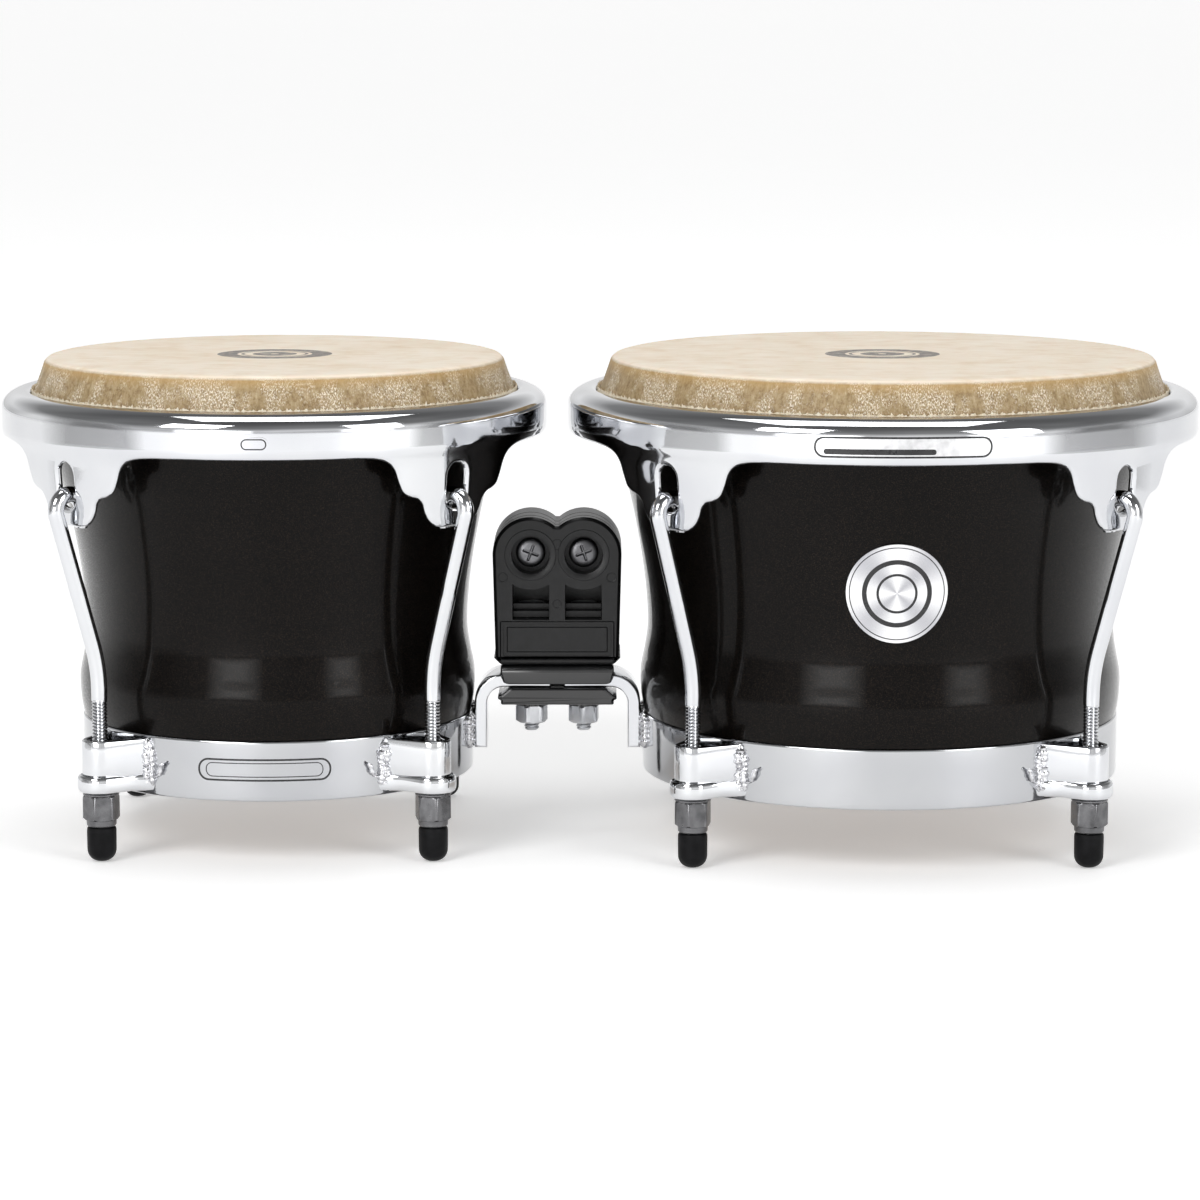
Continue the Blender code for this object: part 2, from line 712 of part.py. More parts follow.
def make_clamp_plates(parent):
    """An inverted channel over the arms and a thick chamfered bar under them."""
    depth = BLOCK_HALF_DEPTH - GAP
    inside = depth - UPPER_FLANGE
    channel = [
        (-depth, UPPER_PLATE_LOW),
        (-inside, UPPER_PLATE_LOW),
        (-inside, UPPER_WEB_LOW),
        (inside, UPPER_WEB_LOW),
        (inside, UPPER_PLATE_LOW),
        (depth, UPPER_PLATE_LOW),
        (depth, UPPER_PLATE_HIGH),
        (-depth, UPPER_PLATE_HIGH),
    ]
    upper = upright(plate("clamp_plate_upper", [channel], 2 * PLATE_HALF_WIDTH))
    moved(upper, Matrix.Rotation(math.pi / 2, 4, "Z"))
    width = PLATE_HALF_WIDTH
    bar = [
        (-width, LOWER_PLATE_LOW),
        (width, LOWER_PLATE_LOW),
        (width, LOWER_PLATE_HIGH - LOWER_CHAMFER),
        (width - LOWER_CHAMFER, LOWER_PLATE_HIGH),
        (-width + LOWER_CHAMFER, LOWER_PLATE_HIGH),
        (-width, LOWER_PLATE_HIGH - LOWER_CHAMFER),
    ]
    lower = upright(plate("clamp_plate_lower", [bar], 2 * LOWER_PLATE_HALF_DEPTH))
    spans = {
        "clamp_plate_upper": (upper, UPPER_PLATE_LOW, UPPER_PLATE_HIGH),
        "clamp_plate_lower": (lower, LOWER_PLATE_LOW, LOWER_PLATE_HIGH),
    }
    for name, (mesh, low, high) in spans.items():
        body = place(name, mesh, "black_steel", parent)
        for index, side in enumerate((-1, 1), start=1):
            hole = bolt_hole_mesh(f"{name}_hole_{index}", low, high, side)
            boolean(body, place_cutter(hole.name, hole, parent=parent))


def arm_outline(drum):
    """The arm from the side. Its x is the distance from the block's middle, growing outwards."""
    ring = RIM_OFFSET + RIM_GAP / 2 - RING_OFFSET
    leg_out = ring - ARM_STANDOFF
    leg_in = leg_out - ARM_THICKNESS
    top = ARM_LEVEL + ARM_THICKNESS
    bend = (leg_in - ARM_BEND, ARM_LEVEL - ARM_BEND)
    outside = arc(bend, ARM_BEND + ARM_THICKNESS, 0, 90, 7)
    inside = arc(bend, ARM_BEND, 90, 0, 6)
    return [
        (leg_out, ARM_FOOT),
        *outside,
        (ARM_END, top),
        (ARM_END, ARM_LEVEL),
        *inside,
        (leg_in, ARM_FOOT),
    ]


def make_arm(drum, parent):
    """A bent flat bar with a weld pad that follows the drum's ring."""
    side = -1 if drum == "macho" else 1
    ring = HEAD_RADIUS[drum] + RING_OFFSET
    to_axis = DRUM_X[drum] - BLOCK_X
    mirror = Matrix.Diagonal((side, 1, 1, 1))
    mesh = moved(upright(plate(f"{drum}_arm", [arm_outline(drum)], 2 * ARM_HALF_DEPTH)), mirror)
    leg = ring + ARM_STANDOFF
    near = to_axis - side * (leg + 0.0010)
    far = to_axis - side * (ring - 0.0030)
    low = (min(near, far), -WELD_HALF_WIDTH, ARM_FOOT + 0.0005)
    high = (max(near, far), WELD_HALF_WIDTH, WELD_HIGH)
    pad = box(f"{drum}_weld_pad", low, high)
    round_ring = prism(f"{drum}_ring_clearance", TURN_STEPS, ring + GAP, 0.0200, 0.0550)
    moved(round_ring, Matrix.Translation((to_axis, 0, 0)))
    if side < 0:
        mesh.flip_normals()
    arm = place(f"{drum}_arm", mesh, "chrome", parent)
    boolean(arm, place_cutter(pad.name, pad, parent=parent), "UNION")
    boolean(arm, place_cutter(round_ring.name, round_ring, parent=parent))
    hole = bolt_hole_mesh(f"{drum}_arm_hole", ARM_LEVEL, ARM_LEVEL + ARM_THICKNESS, side)
    boolean(arm, place_cutter(hole.name, hole, parent=parent))


def make_clamp_bolts(parent):
    """Two vertical bolts with their heads in the windows, and the washers and nuts below."""
    head_low = WINDOW_LOW + GAP
    shank = prism("clamp_bolt_shank", 12, BOLT_RADIUS, BOLT_TIP, head_low + 0.0010)
    head = prism(
        "clamp_bolt_head", 6, across_flats(BOLT_HEAD_FLATS), head_low, head_low + BOLT_HEAD_HEIGHT
    )
    bolt = smooth(combined("clamp_bolt", head, [("UNION", shank)]))
    washer_high = LOWER_PLATE_LOW - GAP
    disc = prism("clamp_washer", 20, WASHER_RADIUS, WASHER_LOW, washer_high)
    disc_hole = prism("washer_hole", 12, BOLT_HOLE, WASHER_LOW - 0.0010, washer_high + 0.0010)
    washer = smooth(combined("clamp_washer", disc, [("DIFFERENCE", disc_hole)]))
    nut_high = WASHER_LOW - GAP
    hexagon = prism("clamp_nut", 6, across_flats(CLAMP_NUT_FLATS), CLAMP_NUT_LOW, nut_high)
    nut_hole = prism("clamp_nut_hole", 12, BOLT_HOLE, CLAMP_NUT_LOW - 0.0010, nut_high + 0.0010)
    nut = smooth(combined("clamp_nut", hexagon, [("DIFFERENCE", nut_hole)]))
    for index, side in enumerate((-1, 1), start=1):
        spot = (side * BOLT_REACH, 0, 0)
        place(f"clamp_bolt_{index}", bolt, "zinc_steel", parent, spot)
        place(f"clamp_washer_{index}", washer, "zinc_steel", parent, spot)
        place(f"clamp_nut_{index}", nut, "nickel", parent, spot, math.radians(12 * index))


def make_block_screws(parent):
    """Two screws across the block, with their heads at the bottom of the round pockets."""
    head_back = POCKET_DEPTH - BLOCK_HALF_DEPTH - GAP
    head_front = head_back - SCREW_HEAD_HEIGHT
    head = lying_prism("screw_head", SCREW_HEAD_RADIUS, (0, 0), head_front, head_back)
    shank = lying_prism("screw_shank", SCREW_RADIUS, (0, 0), head_back - 0.0005, SCREW_END)
    screw = smooth(combined("block_screw", head, [("UNION", shank)]))
    lobe = BLOCK_HALF_WIDTH - LOBE_RADIUS
    for index, side in enumerate((-1, 1), start=1):
        place(f"block_screw_{index}", screw, "zinc_steel", parent, (side * lobe, 0, LOBE_HEIGHT))


def make_clamp():
    middle = bpy.data.objects.new("clamp_axis", None)
    PARTS.objects.link(middle)
    middle.location = (BLOCK_X, 0, 0)
    make_block(middle)
    make_clamp_plates(middle)
    for drum in HEAD_RADIUS:
        make_arm(drum, middle)
    make_clamp_bolts(middle)
    make_block_screws(middle)


# ---------------------------------------------------------------- the whole object
clear_scene()
PARTS = new_collection("bongo_drums")
CUTTERS = new_collection("cutters")
MATERIAL = {name: make_material(name) for name in MATERIALS}
NUT = tuning_nut_mesh()
CAP = rubber_cap_mesh()
AXES = {drum: make_drum(drum, NUT, CAP) for drum in HEAD_RADIUS}
make_badge("hembra", AXES["hembra"])
make_clamp()
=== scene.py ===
"""Bongo drums: the visible surfaces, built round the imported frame.

Metres, +Z up, and the tables of sizes are in millimetres. X runs from the small drum (macho) to
the large one (hembra), and -Y is the front. Each drum's axis and size are read from the frame, and
its radii are counted from the radius of its playing surface.
"""

import math

import bmesh
import bpy
import numpy as np
from mathutils import Matrix, Vector


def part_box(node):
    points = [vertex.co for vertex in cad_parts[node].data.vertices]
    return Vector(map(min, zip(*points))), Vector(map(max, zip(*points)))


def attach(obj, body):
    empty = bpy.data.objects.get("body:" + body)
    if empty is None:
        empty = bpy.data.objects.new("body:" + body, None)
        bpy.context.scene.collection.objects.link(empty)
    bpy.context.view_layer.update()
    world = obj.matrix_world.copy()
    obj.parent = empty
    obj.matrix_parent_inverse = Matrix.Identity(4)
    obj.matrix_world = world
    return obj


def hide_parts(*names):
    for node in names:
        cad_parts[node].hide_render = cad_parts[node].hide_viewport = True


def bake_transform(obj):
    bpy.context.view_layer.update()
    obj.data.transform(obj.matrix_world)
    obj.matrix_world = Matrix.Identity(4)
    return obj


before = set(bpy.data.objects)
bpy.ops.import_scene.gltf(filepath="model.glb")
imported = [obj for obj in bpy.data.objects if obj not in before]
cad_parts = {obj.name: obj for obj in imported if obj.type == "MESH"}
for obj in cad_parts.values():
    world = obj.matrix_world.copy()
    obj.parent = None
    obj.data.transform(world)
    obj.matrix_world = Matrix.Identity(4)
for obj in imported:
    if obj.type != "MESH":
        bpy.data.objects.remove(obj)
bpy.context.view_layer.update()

# ---------------------------------------------------------------- sizes
MM = 0.001
QUARTER = math.pi / 2
FRONT = -QUARTER
RODS = 4


def span(node):
    """A node's lowest and highest Z."""
    return [corner.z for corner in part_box(node)]


RIM_OFFSET = 18.0 * MM
RIMS = {drum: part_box(f"{drum}_rim") for drum in ("macho", "hembra")}
AXIS = {drum: (low.x + high.x) / 2 for drum, (low, high) in RIMS.items()}
HEAD = {drum: (high.x - low.x) / 2 - RIM_OFFSET for drum, (low, high) in RIMS.items()}

COLLAR_LOW, HEAD_TOP = span("macho_skin")
RING_LOW, RING_HIGH = span("macho_bottom_ring")
EAR_TIP = span("macho_rim")[0]
RING_OFFSET = -11.0 * MM
WAIST_OFFSET = -12.9 * MM
ROD_OFFSET = 1.5 * MM

BLOCK_LOW_CORNER, BLOCK_HIGH_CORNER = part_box("clamp_block_front")
BLOCK_X = (BLOCK_LOW_CORNER.x + BLOCK_HIGH_CORNER.x) / 2
BLOCK_LOW = BLOCK_LOW_CORNER.z
HALF_WIDTH = (BLOCK_HIGH_CORNER.x - BLOCK_LOW_CORNER.x) / 2
HALF_DEPTH = 16.0 * MM
LOBE_RADIUS = 14.4 * MM
LOBE_HEIGHT = 108.4 * MM
LOBE = HALF_WIDTH - LOBE_RADIUS
BOLT_REACH = 10.0 * MM

# The shell's outer curve: height, radius past the waist
SHELL_CURVE = MM * np.array(
    [
        (47.6, 1.6), (54.5, 2.6), (63.0, 2.7), (71.5, 1.1), (81.0, 0.0), (96.0, 0.9),
        (112.0, 3.2), (128.0, 6.4), (142.0, 10.0), (156.0, 12.2), (168.0, 12.7), (180.0, 12.7),
    ]
)
SHELL_WALL = 7.0 * MM

# The outer face of the rim from its crest to the tip of an ear: height, radius past the head
RIM_FACE = MM * np.array(
    [
        (171.3, 8.8), (171.1, 11.2), (170.4, 13.4), (169.2, 15.4), (167.4, 17.0), (165.0, 17.8),
        (161.5, 18.0), (158.0, 17.9), (155.5, 17.5), (153.5, 16.9), (151.0, 16.4), (148.0, 16.1),
        (138.0, 15.2), (EAR_TIP / MM, 14.0),
    ]
)
# The rim's underside and crest, which close its section
RIM_INSIDE = MM * np.array(
    [
        (157.0, 14.6), (161.2, 14.7), (164.0, 14.4), (166.0, 13.4), (167.4, 11.6), (167.7, 9.9),
        (167.2, 8.9), (165.3, 8.5), (165.0, 7.9), (165.1, 6.8), (165.8, 6.5),
        (169.0, 6.4), (170.0, 6.7), (170.8, 7.3), (171.2, 8.1),
    ]
)
RIM_WIDEST = 17.8 * MM  # leaves room for the label inside the frame's box
RIM_THICKNESS = 3.0 * MM
RIM_LIP = 154.3 * MM
BAND_LOW = 156.7 * MM  # where the band above meets the part that carries the ears

# The scalloped edge of an ear: half width along the rim, height
EAR_EDGE = MM * np.array(
    [
        (0.0, EAR_TIP / MM), (5.0, EAR_TIP / MM + 0.1), (8.6, 127.3), (11.7, 129.5),
        (13.6, 132.5), (15.0, 135.8), (17.5, 138.1), (20.9, 139.1), (23.6, 140.8), (25.6, 144.7),
        (27.5, 149.2), (30.8, 152.3), (36.0, 153.8), (43.0, RIM_LIP / MM),
    ]
)
SLOT_HALF = 4.6 * MM
SLOT_LOW, SLOT_HIGH = 133.6 * MM, 150.5 * MM
EDGE_ROUND = 1.3 * MM

PITCH = 1.25 * MM
ROD_RADIUS = 3.0 * MM
THREAD_TOP = 61.0 * MM
THREAD_FOOT = 25.0 * MM
STRAP_SPLAY = math.radians(20)
STRAP_OUTER, STRAP_INNER = 6.8 * MM, 4.4 * MM


# ---------------------------------------------------------------- lines and outlines
def distances(points):
    """How far along a line of points each of them is."""
    return np.concatenate([[0], np.cumsum(np.linalg.norm(np.diff(points, axis=0), axis=1))])


def sampled(points, along, wanted):
    return np.column_stack([np.interp(wanted, along, points[:, axis]) for axis in range(2)])


def spline(points, count):
    """Points at even steps along a Catmull-Rom curve through the given ones."""
    ends = np.vstack([2 * points[0] - points[1], points, 2 * points[-1] - points[-2]])
    t = np.linspace(0, 1, 24, endpoint=False)[:, None]
    fine = []
    for p0, p1, p2, p3 in zip(ends, ends[1:], ends[2:], ends[3:]):
        square = (2 * p0 - 5 * p1 + 4 * p2 - p3) * t**2
        cube = (3 * p1 - p0 - 3 * p2 + p3) * t**3
        fine.append(0.5 * (2 * p1 + (p2 - p0) * t + square + cube))
    fine = np.vstack([*fine, points[-1:]])
    along = distances(fine)
    return sampled(fine, along, np.linspace(0, along[-1], count))


def arc(centre, radius, start, end, count):
    """Points on a circle from one angle to another, in degrees."""
    turn = np.radians(np.linspace(start, end, count))
    return np.column_stack([centre[0] + radius * np.cos(turn), centre[1] + radius * np.sin(turn)])


def circle(centre, radius, count):
    return arc(centre, radius, 0, 360, count + 1)[:-1]


def rectangle(left, right, low, high):
    return [(left, low), (right, low), (right, high), (left, high)]


def rounded_loop(width, height, corner, steps=14):
    """A counter-clockwise rounded rectangle about the origin, from millimetres."""
    x, y = width / 2 - corner, height / 2 - corner
    corners = ((x, y), (-x, y), (-x, -y), (x, -y))
    arcs = [arc(spot, corner, 90 * n, 90 * n + 90, steps) for n, spot in enumerate(corners)]
    return np.vstack(arcs) * MM


def line_loop(width, height, corner, thickness):
    """The outer edge, middle and inner edge of a line round a rounded rectangle."""
    inner_corner = max(corner - thickness, thickness / 2)
    outer = rounded_loop(width, height, corner)
    inner = rounded_loop(width - 2 * thickness, height - 2 * thickness, inner_corner)
    return [outer, (outer + inner) / 2, inner]


def rounded_corners(points, radius, steps=5):
    """Replaces each corner of a polygon by an arc-like curve."""
    points = np.asarray(points, float)
    result = []
    for index, (corner, reach) in enumerate(zip(points, np.broadcast_to(radius, len(points)))):
        before = points[index - 1] - corner
        after = points[(index + 1) % len(points)] - corner
        first = corner + before / np.linalg.norm(before) * reach
        last = corner + after / np.linalg.norm(after) * reach
        for t in np.linspace(0, 1, steps):
            result.append(first * (1 - t) ** 2 + corner * 2 * t * (1 - t) + last * t * t)
    return np.array(result)


def bent(first, corner, last, count):
    """A curve from one point to another that a corner pulls towards itself."""
    share = np.linspace(0, 1, count)
    return [first * (1 - t) ** 2 + corner * 2 * t * (1 - t) + last * t * t for t in share]


def ripple(values, seed, size=1.0):
    """A smooth repeating wobble of about -1 to 1 over an angle or a length."""
    total = np.zeros_like(values, dtype=float)
    for step in range(1, 6):
        phase = math.sin(seed * 12.9898 + step * 78.233) * 43758.5453 % math.tau
        total += np.sin(values * size * (2 * step - 1 + seed % 3) + phase) / step
    return total / 2


def full_turn(steps):
    return np.arange(steps) * math.tau / steps


def upright(reach, turn, height):
    """Points in space about a vertical axis."""
    return np.stack([reach * np.cos(turn), reach * np.sin(turn), height + 0 * turn], axis=-1)


def outward(outline):
    """Unit normals of a closed counter-clockwise outline, mitred at its corners."""
    total = 0
    for edge in (outline - np.roll(outline, 1, axis=0), np.roll(outline, -1, axis=0) - outline):
        edge = edge / np.maximum(np.linalg.norm(edge, axis=1), 1e-9)[:, None]
        total = total + np.column_stack([edge[:, 1], -edge[:, 0]])
    length = np.maximum(np.sum(total * total, axis=1), 0.6)
    return 2 * total / length[:, None]


def layered(outline, layers):
    """Rows of (x, y, z) from an outline, one for each (inset, height)."""
    outline = np.asarray(outline, float)
    normals = outward(outline)
    return [
        np.column_stack([outline - normals * inset, np.full(len(outline), height)])
        for inset, height in layers
    ]


def rounded_layers(low, high, edge):
    """Insets and heights of a slab with rounded edges and a support loop on each flat."""
    turn = np.radians(np.linspace(0, 90, 4))
    lower = [(edge * (1 - math.sin(a)), low + edge * (1 - math.cos(a))) for a in turn]
    upper = [(inset, high - (height - low)) for inset, height in reversed(lower)]
    support = edge + 0.08 * MM
    return [(support, low), *lower, *upper, (support, high)]


def tube(path, radius, sides):
    """Rows round a line of points in an XZ plane. The radius depends on the step and the angle."""
    path = np.asarray(path, float)
    along = np.gradient(path, axis=0)
    along /= np.linalg.norm(along, axis=1)[:, None]
    side = np.array([0.0, 1.0, 0.0])
    turn = full_turn(sides)
    rows = []
    for step, (point, normal) in enumerate(zip(path, np.cross(along, side))):
        ring = np.cos(turn)[:, None] * normal + np.sin(turn)[:, None] * side
        rows.append(point + ring * radius(step, turn)[:, None])
    return rows


# ---------------------------------------------------------------- meshes
class Form:
    """Collects grids of points into one mesh."""

    def __init__(self):
        self.points = []
        self.faces = []
        self.marks = []

    def grid(self, rows, wrap=False, caps=True, mark=0):
        """Adds closed rings of points, joined row by row. A wrapped grid joins its ends too."""
        rows = np.asarray(rows, float)
        start = len(self.points)
        count, width = rows.shape[:2]
        self.points.extend(map(tuple, rows.reshape(-1, 3)))
        for row in range(count if wrap else count - 1):
            upper = start + (row + 1) % count * width
            lower = start + row * width
            for column in range(width):
                side = (column + 1) % width
                self.faces.append((lower + column, lower + side, upper + side, upper + column))
        if caps and not wrap:
            last = start + (count - 1) * width
            self.faces.append(tuple(range(start, start + width)))
            self.faces.append(tuple(range(last, last + width)))
        self.marks.extend([mark] * (len(self.faces) - len(self.marks)))
        return self

    def turned(self, profile, steps, closed=True):
        """Turns (radius, height) points about a vertical axis."""
        turn = full_turn(steps)
        return self.grid([upright(radius, turn, height) for radius, height in profile], closed)

    def moved(self, matrix):
        points = np.array(self.points)
        matrix = np.array(matrix)
        self.points = list(map(tuple, points @ matrix[:3, :3].T + matrix[:3, 3]))
        return self

    def mesh(self, name, angle=40):
        mesh = bpy.data.meshes.new(name)
        mesh.from_pydata(self.points, [], self.faces)
        mesh.polygons.foreach_set("material_index", self.marks)
        shape = bmesh.new()
        shape.from_mesh(mesh)
        bmesh.ops.remove_doubles(shape, verts=shape.verts, dist=1e-7)
        bmesh.ops.recalc_face_normals(shape, faces=shape.faces)
        shape.to_mesh(mesh)
        shape.free()
        return smoothed(mesh, angle)


def smoothed(mesh, angle):
    mesh.shade_smooth()
    mesh.set_sharp_from_angle(angle=math.radians(angle))
    return mesh


def placed(name, data):
    """Makes an object and puts it into the scene."""
    item = bpy.data.objects.new(name, data)
    bpy.context.scene.collection.objects.link(item)
    return item


def show(mesh, body, materials, replaces=()):
    """Makes the piece, gives it its materials and lets it ride on its body."""
    piece = placed(mesh.name, mesh)
    for material in materials if isinstance(materials, tuple) else (materials,):
        mesh.materials.append(MATERIAL[material])
    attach(piece, body)
    if replaces:
        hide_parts(*replaces)
    return piece


def store(mesh, name, values):
    attribute = mesh.attributes.new(name, "FLOAT_VECTOR", "POINT")
    attribute.data.foreach_set("vector", np.asarray(values, np.float32).ravel())


def cut(body, cutters, name, angle):
    """Cuts meshes out of a mesh and gives back the result."""
    holder = placed("cut_holder", body)
    tools = [placed(mesh.name, mesh) for mesh in cutters]
    for tool in tools:
        modifier = holder.modifiers.new(tool.name, "BOOLEAN")
        modifier.operation = "DIFFERENCE"
        modifier.solver = "MANIFOLD"
        modifier.object = tool
    graph = bpy.context.evaluated_depsgraph_get()
    result = bpy.data.meshes.new_from_object(holder.evaluated_get(graph))
    for item in [holder, *tools]:
        bpy.data.objects.remove(item)
    result.name = name
    result.materials.clear()
    result.polygons.foreach_set("material_index", [0] * len(result.polygons))
    return smoothed(result, angle)


# ---------------------------------------------------------------- materials
class Nodes:
    """Adds nodes to a material or to the world."""

    def __init__(self, owner, shader, place):
        owner.use_nodes = True
        self.owner = owner
        self.tree = owner.node_tree
        self.shader = self.tree.nodes[shader]
        self.place = self.node("TexCoord", {}, place)

    def feed(self, socket, value):
        """Links a socket to another node's output, or sets its value."""
        if isinstance(value, bpy.types.NodeSocket):
            self.tree.links.new(value, socket)
        else:
            socket.default_value = (*value, 1) if socket.type == "RGBA" else value

    def set(self, **sockets):
        for name, value in sockets.items():
            self.feed(self.shader.inputs[name.replace("_", " ")], value)

    def node(self, kind, inputs, output=0, **settings):
        node = self.tree.nodes.new(f"ShaderNode{kind}")
        for name, value in settings.items():
            setattr(node, name, value)
        for key, value in inputs.items():
            self.feed(node.inputs[key], value)
        return node.outputs[output]

    def attribute(self, name):
        return self.node("Attribute", {}, "Vector", attribute_name=name)

    def stretched(self, source, scale):
        return self.node("VectorMath", {0: source, 1: scale}, operation="MULTIPLY")

    def noise(self, scale, detail=3.0, roughness=0.5, source=None):
        values = {"Scale": scale, "Detail": detail, "Roughness": roughness}
        return self.node("TexNoise", {**values, "Vector": source or self.place}, "Fac")

    def grain(self, source, scale, detail, roughness):
        """Noise that is stretched by a different amount on each axis."""
        return self.noise(1.0, detail, roughness, self.stretched(source, scale))

    def ramp(self, source, *stops):
        """Colours or values over a 0 to 1 input: each stop is (position, colour or value)."""
        output = self.node("ValToRGB", {"Fac": source}, "Color")
        elements = output.node.color_ramp.elements
        while len(elements) < len(stops):
            elements.new(0.5)
        for element, (position, colour) in zip(elements, stops):
            element.position = position
            element.color = (*np.broadcast_to(colour, 3), 1)
        return output

    def mixed(self, share, first, second, mode="MIX"):
        inputs = {"Factor": share, 6: first, 7: second}
        return self.node("Mix", inputs, 2, data_type="RGBA", blend_type=mode)

    def maths(self, operation, *values):
        return self.node("Math", dict(enumerate(values)), operation=operation)

    def length(self, x, y):
        squares = [self.maths("POWER", part, 2.0) for part in (x, y)]
        return self.maths("SQRT", self.maths("ADD", *squares))

    def axis(self, source, index):
        return self.node("SeparateXYZ", {0: source}, index)

    def ranged(self, source, start, end, low, high, kind="LINEAR"):
        values = {"From Min": start, "From Max": end, "To Min": low, "To Max": high}
        return self.node("MapRange", {**values, "Value": source}, "Result", interpolation_type=kind)

    def rough(self, source, low, high):
        self.set(Roughness=self.ranged(source, 0.0, 1.0, low, high))

    def bump(self, source, distance, strength=1.0):
        """Adds relief over the relief that is already there."""
        inputs = {"Strength": strength, "Distance": distance, "Height": source}
        normal = self.shader.inputs["Normal"]
        if normal.is_linked:
            inputs["Normal"] = normal.links[0].from_socket
        self.set(Normal=self.node("Bump", inputs))


def surface(name, **sockets):
    made = Nodes(bpy.data.materials.new(name), "Principled BSDF", "Object")
    made.set(**sockets)
    return made


def make_metal(name, dark, light, low, high, grain=700, depth=0.00001):
    made = surface(name, Metallic=1.0)
    made.set(Base_Color=made.ramp(made.noise(grain * 0.3, 5), (0.3, dark), (0.7, light)))
    made.rough(made.noise(grain, 4), low, high)
    made.bump(made.noise(grain * 3, 3), depth)
    return made.owner


def make_chrome(name, roughness, waviness, shade):
    made = surface(name, Metallic=1.0)
    made.rough(made.noise(60, 6, 0.65), roughness * 0.6, roughness * 1.7)
    dull, bright = shade * np.array([(0.71, 0.72, 0.75), (0.80, 0.81, 0.825)])
    made.set(Base_Color=made.ramp(made.noise(25, 3), (0.3, dull), (0.7, bright)))
    made.bump(made.noise(45, 2), waviness)
    made.bump(made.noise(1800, 2), 0.000002)
    return made.owner


def make_weld():
    made = surface("weld_chrome", Metallic=1.0)
    made.rough(made.noise(900, 5), 0.10, 0.34)
    stops = ((0.3, (0.48, 0.48, 0.50)), (0.65, (0.82, 0.82, 0.84)))
    made.set(Base_Color=made.ramp(made.noise(400, 5), *stops))
    made.bump(made.noise(700, 4), 0.00030)
    return made.owner


def make_lacquer():
    """Black lacquer over fine metallic flake, under a clear coat."""
    coat = {"Coat_Weight": 1.0, "Coat_Roughness": 0.04, "Coat_IOR": 1.16}
    made = surface("black_lacquer", Metallic=0.5, Specular_IOR_Level=0.08, **coat)
    flake = made.node("TexVoronoi", {"Scale": 5200, "Vector": made.place}, "Color")
    flakes = made.ramp(
        made.axis(flake, 0),
        (0.0, (0.0012, 0.001, 0.0009)),
        (0.74, (0.0018, 0.0014, 0.0012)),
        (1.0, (0.024, 0.0165, 0.0115)),
    )
    cloud = made.ramp(made.noise(18, 4), (0.35, 0.72), (0.7, 1.0))
    made.set(Base_Color=made.mixed(1.0, flakes, cloud, "MULTIPLY"))
    made.rough(made.axis(flake, 1), 0.26, 0.46)
    made.bump(made.axis(flake, 2), 0.000012, 0.6)
    return made.owner


def make_wood():
    """The shell's inside: clear-lacquered hardwood staves with their grain upright."""
    made = surface("shell_wood")
    grain = made.grain(made.place, (420, 420, 14), 6, 0.6)
    staves = made.grain(made.place, (42, 42, 0.6), 1, 0.4)
    stops = ((0.3, (0.30, 0.175, 0.085)), (0.55, (0.47, 0.31, 0.17)), (0.8, (0.58, 0.41, 0.25)))
    tone = made.ramp(grain, *stops)
    shift = made.ramp(staves, (0.35, (0.30, 0.19, 0.10)), (0.65, (0.60, 0.43, 0.26)))
    made.set(Base_Color=made.mixed(0.45, tone, shift))
    made.rough(grain, 0.34, 0.55)
    made.bump(grain, 0.00008, 0.7)
    return made.owner


WHITE = (1.0, 1.0, 1.0)


def hide_top(made, patches):
    """Cream and cloudy, with faint veins and short streaks along X."""
    top = made.ramp(
        made.noise(22, 5, 0.6),
        (0.28, (0.815, 0.715, 0.580)),
        (0.46, (0.85, 0.765, 0.650)),
        (0.60, (0.868, 0.790, 0.680)),
        (0.76, (0.885, 0.820, 0.725)),
    )
    veins = made.ramp(patches, (0.32, (0.85, 0.74, 0.60)), (0.50, (0.965, 0.935, 0.89)), (0.70, WHITE))
    top = made.mixed(0.65, top, veins, "MULTIPLY")
    streaks = made.grain(made.place, (60, 330, 60), 5, 0.6)
    streaks = made.ramp(streaks, (0.35, (0.84, 0.77, 0.68)), (0.60, WHITE))
    return made.mixed(0.35, top, streaks, "MULTIPLY")


def hide_collar(made, spread, depth, fibre, speckle):
    """Golden brown with upright fibres, and patches of bleached hair stubble."""
    collar = made.ramp(
        fibre,
        (0.25, (0.20, 0.127, 0.052)),
        (0.44, (0.31, 0.220, 0.104)),
        (0.58, (0.40, 0.302, 0.165)),
        (0.80, (0.56, 0.458, 0.310)),
    )
    spots = made.ramp(speckle, (0.30, (0.50, 0.37, 0.22)), (0.55, WHITE))
    collar = made.mixed(0.75, collar, spots, "MULTIPLY")
    hairs = made.ramp(made.grain(spread, (2300, 26, 1), 4, 0.75), (0.50, 0.0), (0.58, 1.0))
    bleached = made.ramp(made.grain(spread, (95, 1.4, 1), 4, 0.6), (0.45, 0.06), (0.57, 1.0))
    collar = made.mixed(made.maths("MULTIPLY", hairs, bleached), collar, (0.84, 0.77, 0.645))
    line = made.ramp(depth, (0.12, 0.0), (0.20, 0.60), (0.36, 0.0))
    return made.mixed(line, collar, (0.47, 0.30, 0.11))


def print_mask(made):
    """A printed mark of plain rings at the middle of a head."""
    spot = made.attribute("print")
    reach = made.length(made.axis(spot, 0), made.maths("MULTIPLY", made.axis(spot, 1), 1.12))
    total = 0.0
    for radius, width in ((18.0, 3.8), (12.2, 0.6), (5.0, 3.4)):
        off = made.maths("ABSOLUTE", made.maths("SUBTRACT", reach, radius * MM))
        total = made.maths("MAXIMUM", made.maths("LESS_THAN", off, width * MM), total)
    worn = made.ramp(made.noise(240, 4, 0.7), (0.34, 0.55), (0.52, 0.92))
    return made.maths("MULTIPLY", total, worn)


